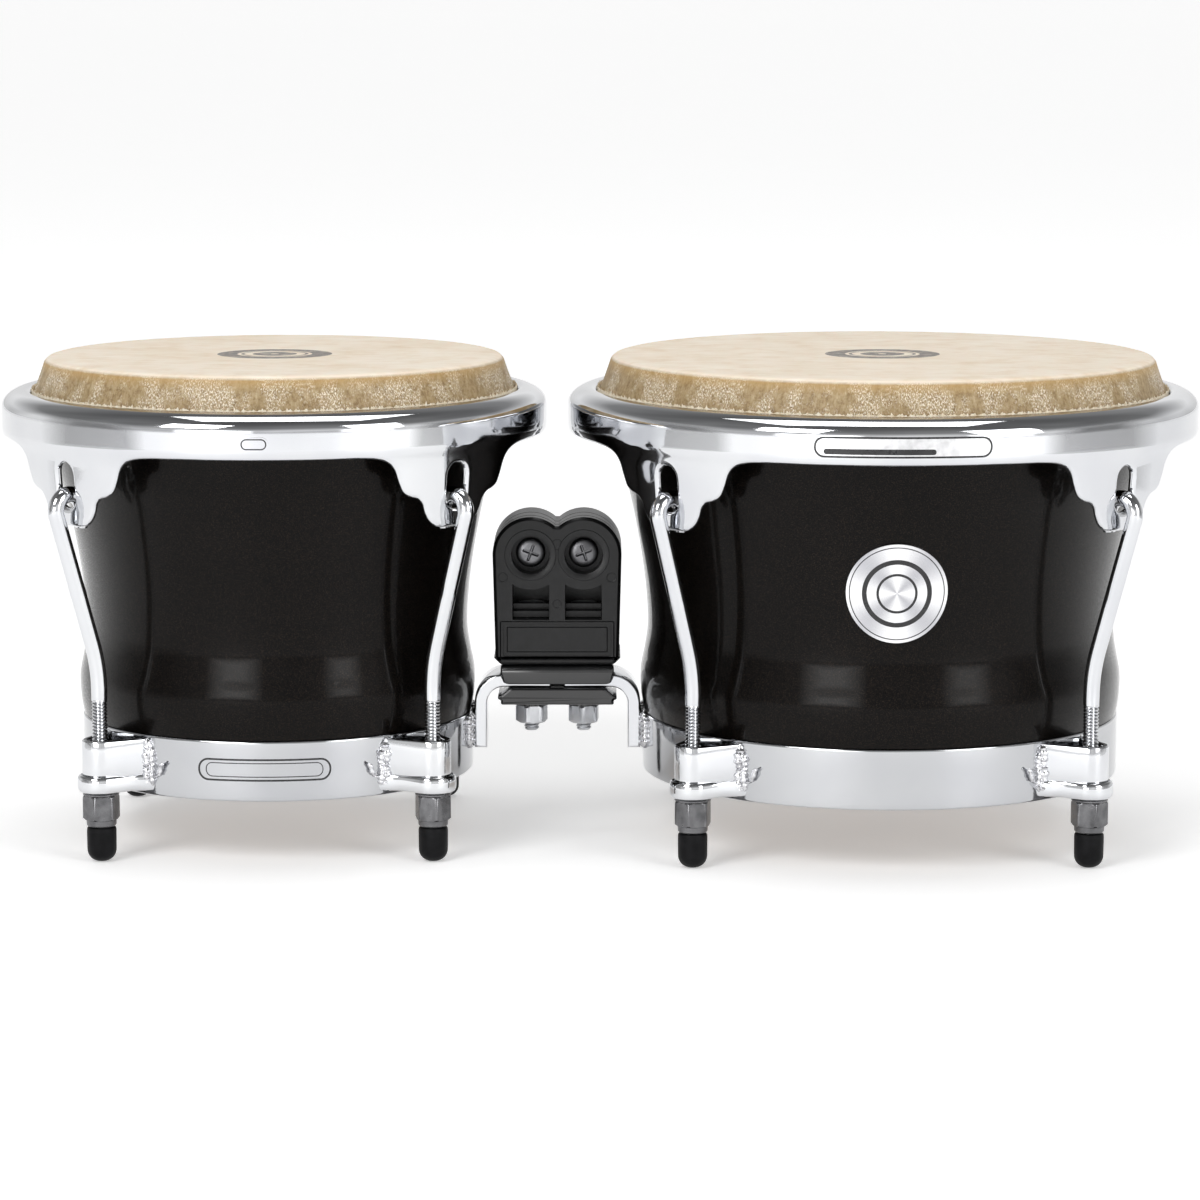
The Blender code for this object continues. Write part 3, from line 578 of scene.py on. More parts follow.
def make_rawhide():
    """Natural hide. Its attribute holds the way round and the depth: 0 on top, 1 at the foot."""
    softness = {"Subsurface_Weight": 0.08, "Subsurface_Scale": 0.002}
    made = surface("rawhide", Specular_IOR_Level=0.35, **softness)
    spread = made.attribute("hide")
    depth = made.axis(spread, 1)
    patches = made.noise(70, 6, 0.65)
    fibre = made.grain(spread, (560, 4.2, 1), 6, 0.72)
    speckle = made.noise(620, 4, 0.7)
    blend_in = made.ramp(depth, (0.09, 0.0), (0.19, 1.0))
    collar = hide_collar(made, spread, depth, fibre, speckle)
    hide = made.mixed(blend_in, hide_top(made, patches), collar)
    made.set(Base_Color=made.mixed(print_mask(made), hide, (0.150, 0.140, 0.135)))
    made.rough(patches, 0.42, 0.68)
    made.bump(patches, 0.00012, 0.6)
    made.bump(made.mixed(blend_in, speckle, fibre), 0.00010, 0.7)
    return made.owner


def make_hide_edge():
    made = surface("hide_edge")
    stops = ((0.3, (0.60, 0.46, 0.27)), (0.5, (0.86, 0.77, 0.60)), (0.7, (0.95, 0.91, 0.82)))
    made.set(Base_Color=made.ramp(made.noise(900, 5, 0.7), *stops))
    made.rough(made.noise(500, 3), 0.55, 0.8)
    made.bump(made.noise(1600, 4), 0.0003)
    return made.owner


def make_badge_metal():
    """Spun aluminium: fine concentric lines about the badge's middle, under a painted four-lobed fan of
    highlight and shade.
    """
    made = surface("spun_aluminium", Metallic=1.0)
    spot = made.attribute("print")
    x, y = made.axis(spot, 0), made.axis(spot, 1)
    along = made.node("CombineXYZ", {0: made.maths("MULTIPLY", made.length(x, y), 5200.0)})
    lines = made.noise(1.0, 3, 0.7, along)
    turn = made.maths("ARCTAN2", y, x)
    # Painted highlight and shade: a four-lobed fan of light and dark round the middle, painted into the
    # colour in place of the spun metal's reflection.
    painted_fan_highlight = made.maths("COSINE", made.maths("MULTIPLY", turn, 4.0))
    painted_fan_highlight = made.maths("MULTIPLY_ADD", painted_fan_highlight, 0.5, 0.5)
    shade = made.ramp(painted_fan_highlight, (0.0, (0.52, 0.52, 0.55)), (1.0, (0.93, 0.93, 0.94)))
    fine = made.ramp(lines, (0.3, 0.55), (0.7, 0.95))
    made.set(Base_Color=made.mixed(0.35, shade, fine, "MULTIPLY"))
    made.rough(lines, 0.20, 0.36)
    made.bump(lines, 0.00002, 0.8)
    return made.owner


def make_dark(name, colour, low, high, grain, depth, **sockets):
    made = surface(name, **sockets)
    lighter = 2.2 * np.array(colour)
    made.set(Base_Color=made.ramp(made.noise(grain * 0.1, 5), (0.35, colour), (0.75, lighter)))
    made.rough(made.noise(grain * 0.4, 4), low, high)
    made.bump(made.noise(grain, 3), depth)
    return made.owner


def make_floor():
    """Pale, with a glow of its own that rises away from the drums."""
    made = surface("studio_floor", Roughness=0.6, Emission_Color=WHITE)
    away = made.node("VectorMath", {0: made.place}, "Value", operation="LENGTH")
    made.set(Emission_Strength=made.ranged(away, 0.3, 2.6, 0.35, 0.66, "SMOOTHSTEP"))
    made.set(Base_Color=made.ramp(made.noise(3, 2), (0.3, 0.925), (0.7, 0.94)))
    return made.owner


GLOSS = {"Coat_Weight": 0.7, "Coat_Roughness": 0.05}
MATERIAL = {
    "chrome": make_chrome("chrome", 0.05, 0.00003, 0.86),
    # Painted shade: the bottom ring's chrome is the chrome made darker, shade 0.64 against 0.86.
    "ring_chrome": make_chrome("ring_chrome", 0.075, 0.00006, 0.64),
    "weld": make_weld(),
    "lacquer": make_lacquer(),
    "wood": make_wood(),
    "rawhide": make_rawhide(),
    "hide_edge": make_hide_edge(),
    "nickel": make_metal("nickel", (0.10, 0.10, 0.104), (0.20, 0.20, 0.207), 0.18, 0.32),
    "zinc": make_metal("zinc_steel", (0.44, 0.45, 0.47), (0.66, 0.67, 0.69), 0.22, 0.42, 500),
    # Painted shade: the pocket screws' zinc is a darker copy of the zinc, standing in for the shade at
    # the bottom of the pockets.
    "screw_zinc": make_metal("screw_zinc", (0.10, 0.10, 0.105), (0.22, 0.22, 0.23), 0.22, 0.42, 500),
    "badge_metal": make_badge_metal(),
    "rubber": make_dark(
        "rubber", (0.004, 0.004, 0.0045), 0.36, 0.55, 2600, 0.00004, Specular_IOR_Level=0.10
    ),
    "plastic": make_dark(
        "black_plastic", (0.004, 0.004, 0.0043), 0.26, 0.42, 3000, 0.00002, Specular_IOR_Level=0.35
    ),
    "black_steel": make_dark(
        "black_steel", (0.005, 0.005, 0.0055), 0.14, 0.26, 900, 0.00001, **GLOSS
    ),
    "ink": make_dark("black_print", (0.010, 0.010, 0.011), 0.22, 0.34, 1500, 0.000004),
    "silver_ink": make_metal("silver_print", (0.60, 0.60, 0.61), (0.80, 0.80, 0.81), 0.25, 0.4, 1200),
}


# ---------------------------------------------------------------- one drum
def axis_of(drum, turn=0.0):
    return Matrix.Translation((AXIS[drum], 0, 0)) @ Matrix.Rotation(turn, 4, "Z")


def rod_frame(drum, index):
    """Local axes on a rod's foot: X outwards from the drum, Z up."""
    turn = math.radians(45 + 360 / RODS * (index - 1))
    return axis_of(drum, turn) @ Matrix.Translation((HEAD[drum] + ROD_OFFSET, 0, 0))


def shell_radius(drum, height):
    heights, offsets = spline(SHELL_CURVE, 200).T
    return HEAD[drum] + WAIST_OFFSET + np.interp(height, heights, offsets)


def make_shell(drum):
    steps = 192
    waist = HEAD[drum] + WAIST_OFFSET
    curve = spline(SHELL_CURVE, 64)
    outer = [(waist + offset, height) for height, offset in curve[::-1]]
    top = HEAD_TOP - 1.9 * MM
    bevel = ((6.6, 3.2), (5.2, 1.2), (3.6, 0.25), (2.2, 0.0), (0.9, 0.35), (0.2, 1.1))
    edge = [(outer[0][0] - inset * MM, top - drop * MM) for inset, drop in bevel]
    seat = HEAD[drum] + RING_OFFSET - 2.7 * MM
    rebate = [
        (waist + curve[0][1] - 0.5 * MM, RING_HIGH + 0.05 * MM),
        (seat, RING_HIGH - 0.05 * MM),
        (seat, RING_LOW + 1.6 * MM),
        (seat - 0.5 * MM, RING_LOW + 1.1 * MM),
    ]
    bore = waist - SHELL_WALL
    foot = [(bore + 2.0 * MM, RING_LOW + 1.1 * MM), (bore + 1.6 * MM, RING_LOW + 1.5 * MM)]
    inner = [(bore + offset, height) for height, offset in curve[:-4:2]]
    outside = [*edge, *outer, *rebate]
    form = Form().turned([*outside, *foot, *inner], steps)
    form.marks = [int(face // steps >= len(outside)) for face in range(len(form.faces))]
    mesh = form.moved(axis_of(drum)).mesh(f"{drum}_shell_body")
    show(mesh, "frame", ("lacquer", "wood"), [f"{drum}_shell"])


def make_skin(drum):
    """The hide: a flat top that turns over the bearing edge and runs down to the hoop."""
    head = HEAD[drum]
    x = AXIS[drum]
    turn = full_turn(360)
    outside = [(head * share, HEAD_TOP, 0.0) for share in (0.0, 0.15, 0.3, 0.45, 0.6, 0.75, 0.88)]
    roll = ((-3.0, 0, 0), (-1.2, 0.1, 0.02), (-0.1, 0.4, 0.06), (0.7, 1.0, 0.12), (1.4, 1.9, 0.20))
    outside += [(head + past * MM, HEAD_TOP - drop * MM, depth) for past, drop, depth in roll]
    for share in np.linspace(0.12, 1, 12):
        past = (1.4 + 4.2 * share**1.05) * MM
        drop = (1.9 + 11.8 * share) * MM
        outside.append((head + past, HEAD_TOP - drop, 0.2 + 0.5 * share))
    foot = head + 5.7 * MM
    outside += [(foot, COLLAR_LOW + 3.0 * MM, 0.85), (foot, COLLAR_LOW, 1.0)]
    under = [
        (head + 4.2 * MM, COLLAR_LOW, 1.0),
        (head + 4.0 * MM, HEAD_TOP - 14.0 * MM, 0.8),
        (head + 0.1 * MM, HEAD_TOP - 2.1 * MM, 0.3),
        (head - 1.4 * MM, HEAD_TOP - 1.5 * MM, 0.1),
        (head * 0.5, HEAD_TOP - 1.5 * MM, 0.0),
        (0.0, HEAD_TOP - 1.5 * MM, 0.0),
    ]
    seed = 3 if drum == "macho" else 7
    wrinkle = (ripple(turn, seed, 9) * 0.10 + ripple(turn, seed + 2, 37) * 0.07) * MM
    sag = ripple(turn, seed + 5, 5) * 0.12 * MM
    rows = [
        upright(radius + wrinkle * min(depth, 0.75), turn, height + sag * depth)
        for radius, height, depth in outside + under
    ]
    mesh = Form().grid(rows).moved(axis_of(drum)).mesh(f"{drum}_head_hide", 60)
    local = np.array([vertex.co for vertex in mesh.vertices]) - (x, 0, 0)
    around = np.arctan2(local[:, 1], local[:, 0]) * head
    heights, depths = np.array(outside)[::-1, 1:].T
    depth = np.interp(local[:, 2], heights, depths)
    store(mesh, "hide", np.column_stack([np.abs(around), depth, np.sign(around)]))
    store(mesh, "print", local * (1, 1, 0))
    piece = placed(mesh.name, mesh)
    mesh.materials.append(MATERIAL["rawhide"])
    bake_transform(piece)
    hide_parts(f"{drum}_skin")


def make_hoop(drum):
    """The steel flesh hoop, and the trimmed edge of the hide that is tucked up round it."""
    head = HEAD[drum]
    low, high = span(f"{drum}_flesh_hoop")
    reach = head + 9.1 * MM
    section = rounded_corners(rectangle(reach - 2.5 * MM, reach + 2.5 * MM, low, high), 1.0 * MM)
    hoop = Form().turned(section, 160).moved(axis_of(drum)).mesh(f"{drum}_hoop")
    show(hoop, f"{drum}_rim_set", "zinc", [f"{drum}_flesh_hoop"])
    turn = full_turn(1440)
    seed = 11 if drum == "macho" else 17
    fray = 0.5 + 0.5 * ripple(turn, seed, 61)
    tufts = np.clip(ripple(turn, seed + 3, 173), 0, 1)
    foot = 166.4
    top = 171.0 + 0.9 * fray + 1.4 * tufts * fray
    section = (
        (5.80, 0.0), (5.82, 0.6), (5.95, 0.9), (6.3, 1.0), (6.35, 0.88), (6.2, 0.6), (6.2, 0.0),
    )
    rows = []
    for across, rise in section:
        lean = 0.20 * max(rise - 0.8, 0) * ripple(turn, seed + 1, 83)
        reach = head + (across + 0.06 * ripple(turn, seed + 2, 47) + lean) * MM
        rows.append(upright(reach, turn, (foot + (top - foot) * rise) * MM))
    edge = Form().grid(rows, True).moved(axis_of(drum)).mesh(f"{drum}_hide_edge", 70)
    show(edge, f"{drum}_rim_set", "hide_edge")


def rim_offset(height):
    heights, offsets = spline(RIM_FACE, 240).T
    return np.minimum(np.interp(height, heights[::-1], offsets[::-1]), RIM_WIDEST)


def ear_columns(quarter):
    """Half of a sector's lower outline from an ear's middle: points and inward normals."""
    scallop = spline(EAR_EDGE, 62)
    rest = np.linspace(scallop[-1][0], quarter, 14)[1:]
    outline = np.vstack([scallop, np.column_stack([rest, np.full(len(rest), RIM_LIP)])])
    along = np.gradient(outline, axis=0)
    along /= np.linalg.norm(along, axis=1)[:, None]
    normals = np.column_stack([-along[:, 1], along[:, 0]])
    normals[[0, -1]] = (0, 1)
    return outline, normals


def make_rim(drum):
    """A rolled band whose lower edge is scalloped into four slotted ears."""
    face = HEAD[drum] + 16.2 * MM
    half, inward = ear_columns(face * math.pi / RODS)
    outline = np.vstack([half[:0:-1] * (-1, 1), half])
    normals = np.vstack([inward[:0:-1] * (-1, 1), inward])
    middle = len(half) - 1
    ends = outline + normals * EDGE_ROUND
    reach = SLOT_HALF + EDGE_ROUND
    hole = int(np.sum(ends[middle:, 0] <= reach)) - 1
    columns = np.arange(len(outline)) - middle
    inside = np.abs(columns) <= hole
    phi = columns / hole * QUARTER
    ends[inside, 0] = reach * np.sin(phi[inside])
    top = np.column_stack([ends[:, 0], np.full(len(ends), BAND_LOW)])
    side_high = SLOT_HIGH - SLOT_HALF
    side_low = SLOT_LOW + 3.2 * MM
    upper_rows, side_rows, lower_rows = 7, 6, 5
    total = BAND_LOW - ends[middle + hole, 1]
    high_share = (BAND_LOW - side_high) / total
    low_share = (BAND_LOW - side_low) / total
    upper = np.linspace(0, high_share, upper_rows, endpoint=False)
    beside = np.linspace(high_share, low_share, side_rows, endpoint=False)
    shares = np.concatenate([upper, beside, np.linspace(low_share, 1, lower_rows)])
    sheet = top + (ends - top) * shares[:, None, None]
    arch = side_high + reach * np.cos(phi)
    bowl = side_low - (side_low - SLOT_LOW + EDGE_ROUND) * np.cos(phi)
    hole_top, hole_low = upper_rows, upper_rows + side_rows
    for column in np.flatnonzero(inside):
        sheet[: hole_top + 1, column, 1] = np.linspace(BAND_LOW, arch[column], hole_top + 1)
        sheet[hole_low:, column, 1] = np.linspace(bowl[column], ends[column, 1], lower_rows)
        if abs(columns[column]) < hole:
            sheet[hole_top + 1 : hole_low, column, 1] = np.nan
    form = Form()
    for sector in range(RODS):
        rim_sector(form, drum, face, sheet, normals, (middle, hole, hole_top, hole_low), sector)
    mesh = form.moved(axis_of(drum)).mesh(f"{drum}_rim_band", 80)
    show(mesh, f"{drum}_rim_set", "chrome", [f"{drum}_rim"])


def rim_sector(form, drum, face, sheet, normals, split, sector):
    """One quarter of the rim: the band's section, the ear's two faces and their rounded edges."""
    middle, hole, hole_top, hole_low = split
    centre = math.pi / 4 + sector * QUARTER

    def solid(flat, depth):
        """Points in space from (distance along the rim, height) and the depth below its face."""
        reach = HEAD[drum] + rim_offset(flat[..., 1]) - depth
        return upright(reach, flat[..., 0] / face + centre, flat[..., 1])

    crown = [row for row in spline(RIM_FACE[:9], 26) if row[0] > BAND_LOW + 0.4 * MM]
    turn = sheet[0, :, 0] / face + centre
    band = [
        upright(HEAD[drum] + min(offset, RIM_WIDEST), turn, height)
        for height, offset in (*RIM_INSIDE, *crown)
    ]
    fold = np.radians(np.linspace(0, 180, 9))
    lip = [(EDGE_ROUND * math.sin(a), RIM_THICKNESS / 2 * (1 - math.cos(a))) for a in fold]
    lips = [solid(sheet[-1] - normals * inset, depth) for inset, depth in lip[1:-1]]
    rows = np.array([*band, *solid(sheet, 0.0), *lips, *solid(sheet, RIM_THICKNESS)[::-1]])
    first, back = len(band), len(rows) - 1
    width = rows.shape[1]
    start = len(form.points)
    form.points.extend(map(tuple, np.nan_to_num(rows).reshape(-1, 3)))
    open_rows = {*range(first + hole_top, first + hole_low), *range(back - hole_low, back - hole_top)}
    open_columns = range(middle - hole, middle + hole)
    for row in range(len(rows)):
        for column in range(width - 1):
            if row in open_rows and column in open_columns:
                continue
            a = start + row * width + column
            b = start + (row + 1) % len(rows) * width + column
            form.faces.append((a, a + 1, b + 1, b))
    loop = [(hole_top, column) for column in open_columns]
    loop += [(row, middle + hole) for row in range(hole_top, hole_low)]
    loop += [(hole_low, column) for column in range(middle + hole, middle - hole, -1)]
    loop += [(row, middle - hole) for row in range(hole_low, hole_top, -1)]
    flat = np.array([sheet[place] for place in loop])
    normal = outward(flat[::-1])[::-1]
    form.grid([solid(flat - normal * inset, depth) for inset, depth in lip], caps=False)


def make_bottom_ring(drum):
    outer = HEAD[drum] + RING_OFFSET
    corners = rectangle(outer - 2.4 * MM, outer, RING_LOW, RING_HIGH)
    section = rounded_corners(corners, 0.9 * MM, 6)
    middle = (RING_LOW + RING_HIGH) / 2
    bulge = ((0.02, -4), (0.03, 0), (0.02, 4))
    belly = [(outer + past * MM, middle + rise * MM) for past, rise in bulge]
    section = np.vstack([section[:12], belly, section[12:]])
    mesh = Form().turned(section, 200).moved(axis_of(drum)).mesh(f"{drum}_ring_band")
    # The ring wears the chrome darkened with painted shade.
    show(mesh, "frame", "ring_chrome", [f"{drum}_bottom_ring"])


def rod_line():
    """The rod's centre line in local (outwards, up), from its hook down to its foot."""
    reach = 20.0 * MM - ROD_OFFSET  # the hook's shank, out from the rod's foot
    hook = 6.0 * MM
    seat = 132.5 * MM
    corner = np.array([0.0, 73.0 * MM])
    slant = np.array([reach, seat]) - corner
    slant /= np.linalg.norm(slant)
    lean = math.degrees(math.atan2(slant[0], slant[1]))
    over = arc((reach - hook, seat), hook, 186, -lean, 26)
    inner = [over[0] + (out * MM, down * MM) for out, down in ((0.4, -6.2), (0.25, -4), (0.1, -2))]
    above = corner + slant * 9.0 * MM
    below = corner - (0, 9.0 * MM)
    straight = [over[-1] + (above - over[-1]) * share for share in np.linspace(0, 1, 26)[1:-1]]
    shank = [(0.0, height) for height in np.arange(THREAD_TOP, THREAD_FOOT, -PITCH / 8)]
    tail = [(0.0, height) for height in np.arange(THREAD_FOOT, 3.4 * MM, -4 * MM)]
    foot = (0.0, 3.2 * MM)
    return np.array([*inner, *over, *straight, *bent(above, corner, below, 14), *shank, *tail, foot])


def make_rod(drum, index):
    line = rod_line()
    heights = line[:, 1]
    on_shank = np.abs(line[:, 0]) < 1e-9
    thread_end = THREAD_TOP + 0.2 * MM

    def radius(step, turn):
        height = heights[step]
        reach = np.full(len(turn), ROD_RADIUS)
        if step in (0, len(line) - 1):
            return reach * 0.72
        if on_shank[step] and THREAD_FOOT < height < thread_end:
            phase = (height / PITCH + turn / math.tau) % 1
            fade = min(1.0, (thread_end - height) / PITCH)
            reach -= 0.62 * MM * np.abs(2 * phase - 1) * fade
        crimp = math.exp(-(((height - 102 * MM) / (1.1 * MM)) ** 2))
        return reach + 0.22 * MM * crimp * np.cos(2 * turn + 0.6)

    form = Form().grid(tube(np.insert(line, 1, 0, axis=1), radius, 24))
    mesh = form.moved(rod_frame(drum, index)).mesh(f"{drum}_rod_{index}", 50)
    show(mesh, f"{drum}_rim_set", "chrome", [f"{drum}_tension_rod_{index}"])


def turned_hexagon(levels, base, flats, steps=96, twist=0.0):
    """Rows of a turned hexagon with softly rounded corners, from millimetres.

    A level is (height, limit, round): the lesser of the hexagon and the limit, or just the limit.
    """
    turn = full_turn(steps)
    corners = sum(np.maximum(np.cos(turn - k * math.pi / 3), 0) ** 36 for k in range(6))
    hexagon = flats / 2 * corners ** (-1 / 36)
    rows = []
    for height, limit, is_round in levels:
        reach = np.full(steps, limit) if is_round else np.minimum(hexagon, limit)
        rows.append(upright(reach * MM, turn + twist, base + height * MM))
    return rows


def make_tuning_nut(drum, index):
    low, high = span(f"{drum}_tuning_nut_{index}")
    top = (high - low) / MM
    wide = 7.04
    levels = [
        (0, 3.4, True), (0, 4.6, True), (0.15, 5.2, True), (0.6, 5.55, True), (1.7, 5.6, True),
        (2.4, 5.65, True), (2.5, 5.9, True), (2.65, 6.2, False), (3.2, wide, False),
        (top - 1.8, wide, False), (top - 1.3, 6.6, False), (top - 1.1, 6.3, True),
        (top - 0.95, 6.6, True), (top - 0.7, 6.8, True), (top - 0.3, 6.8, True),
        (top, 6.5, True), (top, 3.4, True),
    ]
    form = Form().grid(turned_hexagon(levels, low, 12.2), True)
    mesh = form.moved(rod_frame(drum, index)).mesh(f"{drum}_nut_{index}_hex", 32)
    show(mesh, f"{drum}_nut_{index}", "nickel", [f"{drum}_tuning_nut_{index}"])


def make_cap(drum, index):
    low, high = span(f"{drum}_rubber_cap_{index}")
    top = (high - low) / MM
    swell = np.radians(np.linspace(6, 84, 12))
    dome = [(5.42 * math.sin(a) ** 0.82, 4.6 * (1 - math.cos(a))) for a in swell]
    profile = [
        (0.0, 0.0), *dome, (5.45, 5.4), (5.5, top - 1.4), (5.42, top - 0.6), (5.15, top - 0.15),
        (4.7, top), (3.5, top), (3.1, top - 0.8), (3.05, 2.9), (0.0, 2.8),
    ]
    form = Form().turned([(reach * MM, low + rise * MM) for reach, rise in profile], 48, False)
    mesh = form.moved(rod_frame(drum, index)).mesh(f"{drum}_cap_{index}")
    show(mesh, f"{drum}_rim_set", "rubber", [f"{drum}_rubber_cap_{index}"])


def leg_point(drum, reach, side, sink=0.0):
    """Where a line beside the strap, at this distance from the rod's axis, meets the ring."""
    foot = HEAD[drum] + ROD_OFFSET
    target = HEAD[drum] + RING_OFFSET - sink
    normal = np.array([math.sin(STRAP_SPLAY), side * math.cos(STRAP_SPLAY)])
    along = np.array([-math.cos(STRAP_SPLAY), side * math.sin(STRAP_SPLAY)])
    start = normal * reach + (foot, 0)
    share = start @ along
    length = -share - math.sqrt(share**2 - start @ start + target**2)
    return start + along * length - (foot, 0)


def bead(path, size, seed, sides=14):
    """A ribbed weld bead along a line of points, tapered at its ends."""
    path = np.asarray(path, float)
    share = np.linspace(0, 1, len(path))
    taper = np.minimum(1, np.sin(np.clip(share, 0.015, 0.985) * math.pi) * 3.2) ** 0.7
    ribs = share * np.linalg.norm(path[-1] - path[0]) / (1.9 * MM) * math.tau

    def radius(step, turn):
        rib = 1 + 0.16 * math.sin(ribs[step] + seed)
        lump = 1 + 0.10 * math.sin(share[step] * 11 + seed * 3.1) + 0.05 * np.sin(3 * turn + seed)
        return size * taper[step] * rib * lump

    return tube(path, radius, sides)


def upright_bead(x, y, heights, size, seed):
    return bead(np.column_stack([x + 0 * heights, y + 0 * heights, heights]), size, seed)


def make_lug(drum, index):
    """A strap bent round the rod and a pressed tray under it, both welded to the ring."""
    turn = 90 - math.degrees(STRAP_SPLAY)
    sink = 0.3 * MM
    legs = {
        side: [leg_point(drum, reach, side, sink) for reach in (STRAP_OUTER, STRAP_INNER)]
        for side in (1, -1)
    }
    outer = arc((0, 0), STRAP_OUTER, -turn, turn, 24)
    inner = arc((0, 0), STRAP_INNER, turn, -turn, 20)
    outline = np.vstack([outer, legs[1], inner, legs[-1][::-1]])
    form = Form().grid(layered(outline, rounded_layers(32.4 * MM, 46.0 * MM, 0.6 * MM)))
    nose = arc((0, 0), 8.7 * MM, -turn, turn, 28)
    left, right = (leg_point(drum, 8.9 * MM, side, sink) for side in (1, -1))
    back = (RING_OFFSET - ROD_OFFSET - sink, 0.0)
    waist = 9.3 * MM
    tray = np.vstack([nose, (-7.0 * MM, waist), left, back, right, (-7.0 * MM, -waist)])
    base = 26.4 * MM
    layers = MM * np.array(
        [
            (1.9, 0.0), (1.1, 0.05), (0.45, 0.5), (0.1, 1.4), (0.0, 2.6), (0.0, 4.2), (0.15, 5.3),
            (0.55, 6.1), (1.15, 6.45), (1.75, 6.3), (2.2, 5.8), (2.4, 5.2), (2.5, 5.2),
        ]
    )
    form.grid(layered(tray, layers + (0, base)))
    seed = index + (0 if drum == "macho" else 5)
    for side in (1, -1):
        spot = leg_point(drum, 6.5 * MM, side, -0.6 * MM)
        heights = np.linspace(27.2, 46.2, 46) * MM
        sway = 0.35 * MM * np.sin(heights * 900 + seed + side)
        for shift, size, part in ((0.0, 1.75, slice(0, 46)), (1.9, 1.25, slice(3, 38))):
            shift *= MM
            x = (spot[0] - shift * 0.25 + sway)[part]
            y = spot[1] + side * (shift + 0.3 * MM)
            rib_seed = seed + 2 * side + shift * 900
            form.grid(upright_bead(x, y, heights[part], size * MM, rib_seed), mark=1)
    add_tab(form, drum, seed, 1 if index in (1, 3) else -1)
    mesh = form.moved(rod_frame(drum, index)).mesh(f"{drum}_lug_{index}", 50)
    show(mesh, "frame", ("chrome", "weld"), [f"{drum}_lug_bracket_{index}"])


def add_tab(form, drum, seed, side):
    """The curled end of the tray's weld, beside the strap's foot."""
    ring = HEAD[drum] + RING_OFFSET
    foot = HEAD[drum] + ROD_OFFSET
    spot = leg_point(drum, 6.5 * MM, side)
    share = np.linspace(0, 1, 26)
    turn = math.atan2(spot[1], spot[0] + foot) + side * (3.2 + 4.6 * share) * MM / ring
    lift = ring + (0.9 + 1.1 * share**2) * MM
    height = (31.4 + 6.4 * share**1.6 + 0.5 * np.sin(share * 9)) * MM
    form.grid(bead(upright(lift, turn, height) - (foot, 0, 0), 1.0 * MM, seed, 12), mark=1)


def make_drum(drum):
    make_shell(drum)
    make_skin(drum)
    make_hoop(drum)
    make_rim(drum)
    make_bottom_ring(drum)
    for index in range(1, RODS + 1):
        make_rod(drum, index)
        make_tuning_nut(drum, index)
        make_cap(drum, index)
        make_lug(drum, index)


# ---------------------------------------------------------------- marks without lettering
def rim_face(drum, heights):
    return HEAD[drum] + rim_offset(heights)


def ring_face(drum, heights):
    return HEAD[drum] + RING_OFFSET + 0 * heights


def badge_face(drum, heights):
    return shell_radius(drum, heights) + 0.3 * MM


def patch(name, loops, middle, face, lift, slots, material, replaces=()):
    """A thin plate that follows a drum's front. Its loops run from the edge inwards, on (along, up).

    The first word of its name is its drum's, and slots are its body and its slot; the slot is not used.
    """
    drum = name.split("_")[0]
    body, slot = slots

    def wrap(loop, rise):
        heights = middle + loop[:, 1]
        turn = FRONT + loop[:, 0] / face(drum, np.array([middle]))[0]
        return upright(face(drum, heights) + rise, turn, heights) + (AXIS[drum], 0, 0)

    loops = evened(loops)
    rows = [wrap(loop, lift * MM) for loop in loops]
    rows += [wrap(loop, -0.03 * MM) for loop in loops[::-1]]
    mesh = Form().grid(rows, True).mesh(name, 50)
    flat = np.array([vertex.co for vertex in mesh.vertices]) - (AXIS[drum], 0, middle)
    store(mesh, "print", flat[:, [0, 2, 1]] * (1, 1, 0))
    show(mesh, body, material, replaces)


def evened(loops, count=192):
    """Points at even steps along the first loop, and at the same shares of the other ones."""
    closed = [np.vstack([loop, loop[:1]]) for loop in loops]
    along = distances(closed[0])
    steps = np.linspace(0, along[-1], count, endpoint=False)
    return [sampled(loop, along, steps) for loop in closed]


def filled(loop, rings=10):
    return [loop * share for share in np.linspace(1, 0, rings)]


def make_marks():
    label = 161.2 * MM
    boss = 160.5 * MM
    hembra_rim = ("hembra_rim_set", "chrome")
    macho_rim = ("macho_rim_set", "chrome")
    outside, inside = (filled(rounded_loop(*size)) for size in ((64, 7.6, 3.6), (62.6, 6.2, 3.0)))
    strip = [loop + (-8.5 * MM, -1.6 * MM) for loop in filled(rounded_loop(40, 2.0, 0.9))]
    patch("hembra_rim_label", outside, label, rim_face, 0.12, hembra_rim, "ink")
    patch("hembra_rim_label_inside", inside, label, rim_face, 0.15, hembra_rim, "silver_ink")
    patch("hembra_rim_label_strip", strip, label, rim_face, 0.18, hembra_rim, "ink")
    oval = filled(rounded_loop(10.5, 5.2, 2.55))
    patch("macho_rim_boss", oval, boss, rim_face, 0.35, macho_rim, "chrome")
    oval = line_loop(9.2, 4.0, 1.95, 0.45)
    patch("macho_rim_boss_line", oval, boss, rim_face, 0.42, macho_rim, "ink")
    for number, (width, height, thick) in enumerate(((50.0, 8.4, 0.7), (44.0, 5.4, 0.35)), 1):
        line = line_loop(width, height, height / 2 - 0.2, thick)
        name = f"macho_ring_line_{number}"
        patch(name, line, 36.6 * MM, ring_face, 0.10, ("frame", "chrome"), "ink")
    low, high = span("hembra_badge")
    middle = (low + high) / 2
    disc = filled(circle((0, 0), (high - low) / 2, 96), 16)
    place = ("frame", "aluminium")
    patch(
        "hembra_badge_disc", disc, middle, badge_face, 0.80, place, "badge_metal", ["hembra_badge"]
    )
    for number, (reach, thick) in enumerate(((17.3, 0.35), (12.6, 1.7), (7.4, 0.9)), 1):
        ring = [circle((0, 0), edge * MM, 96) for edge in (reach, reach - thick)]
        patch(f"hembra_badge_ring_{number}", ring, middle, badge_face, 0.86, place, "ink")


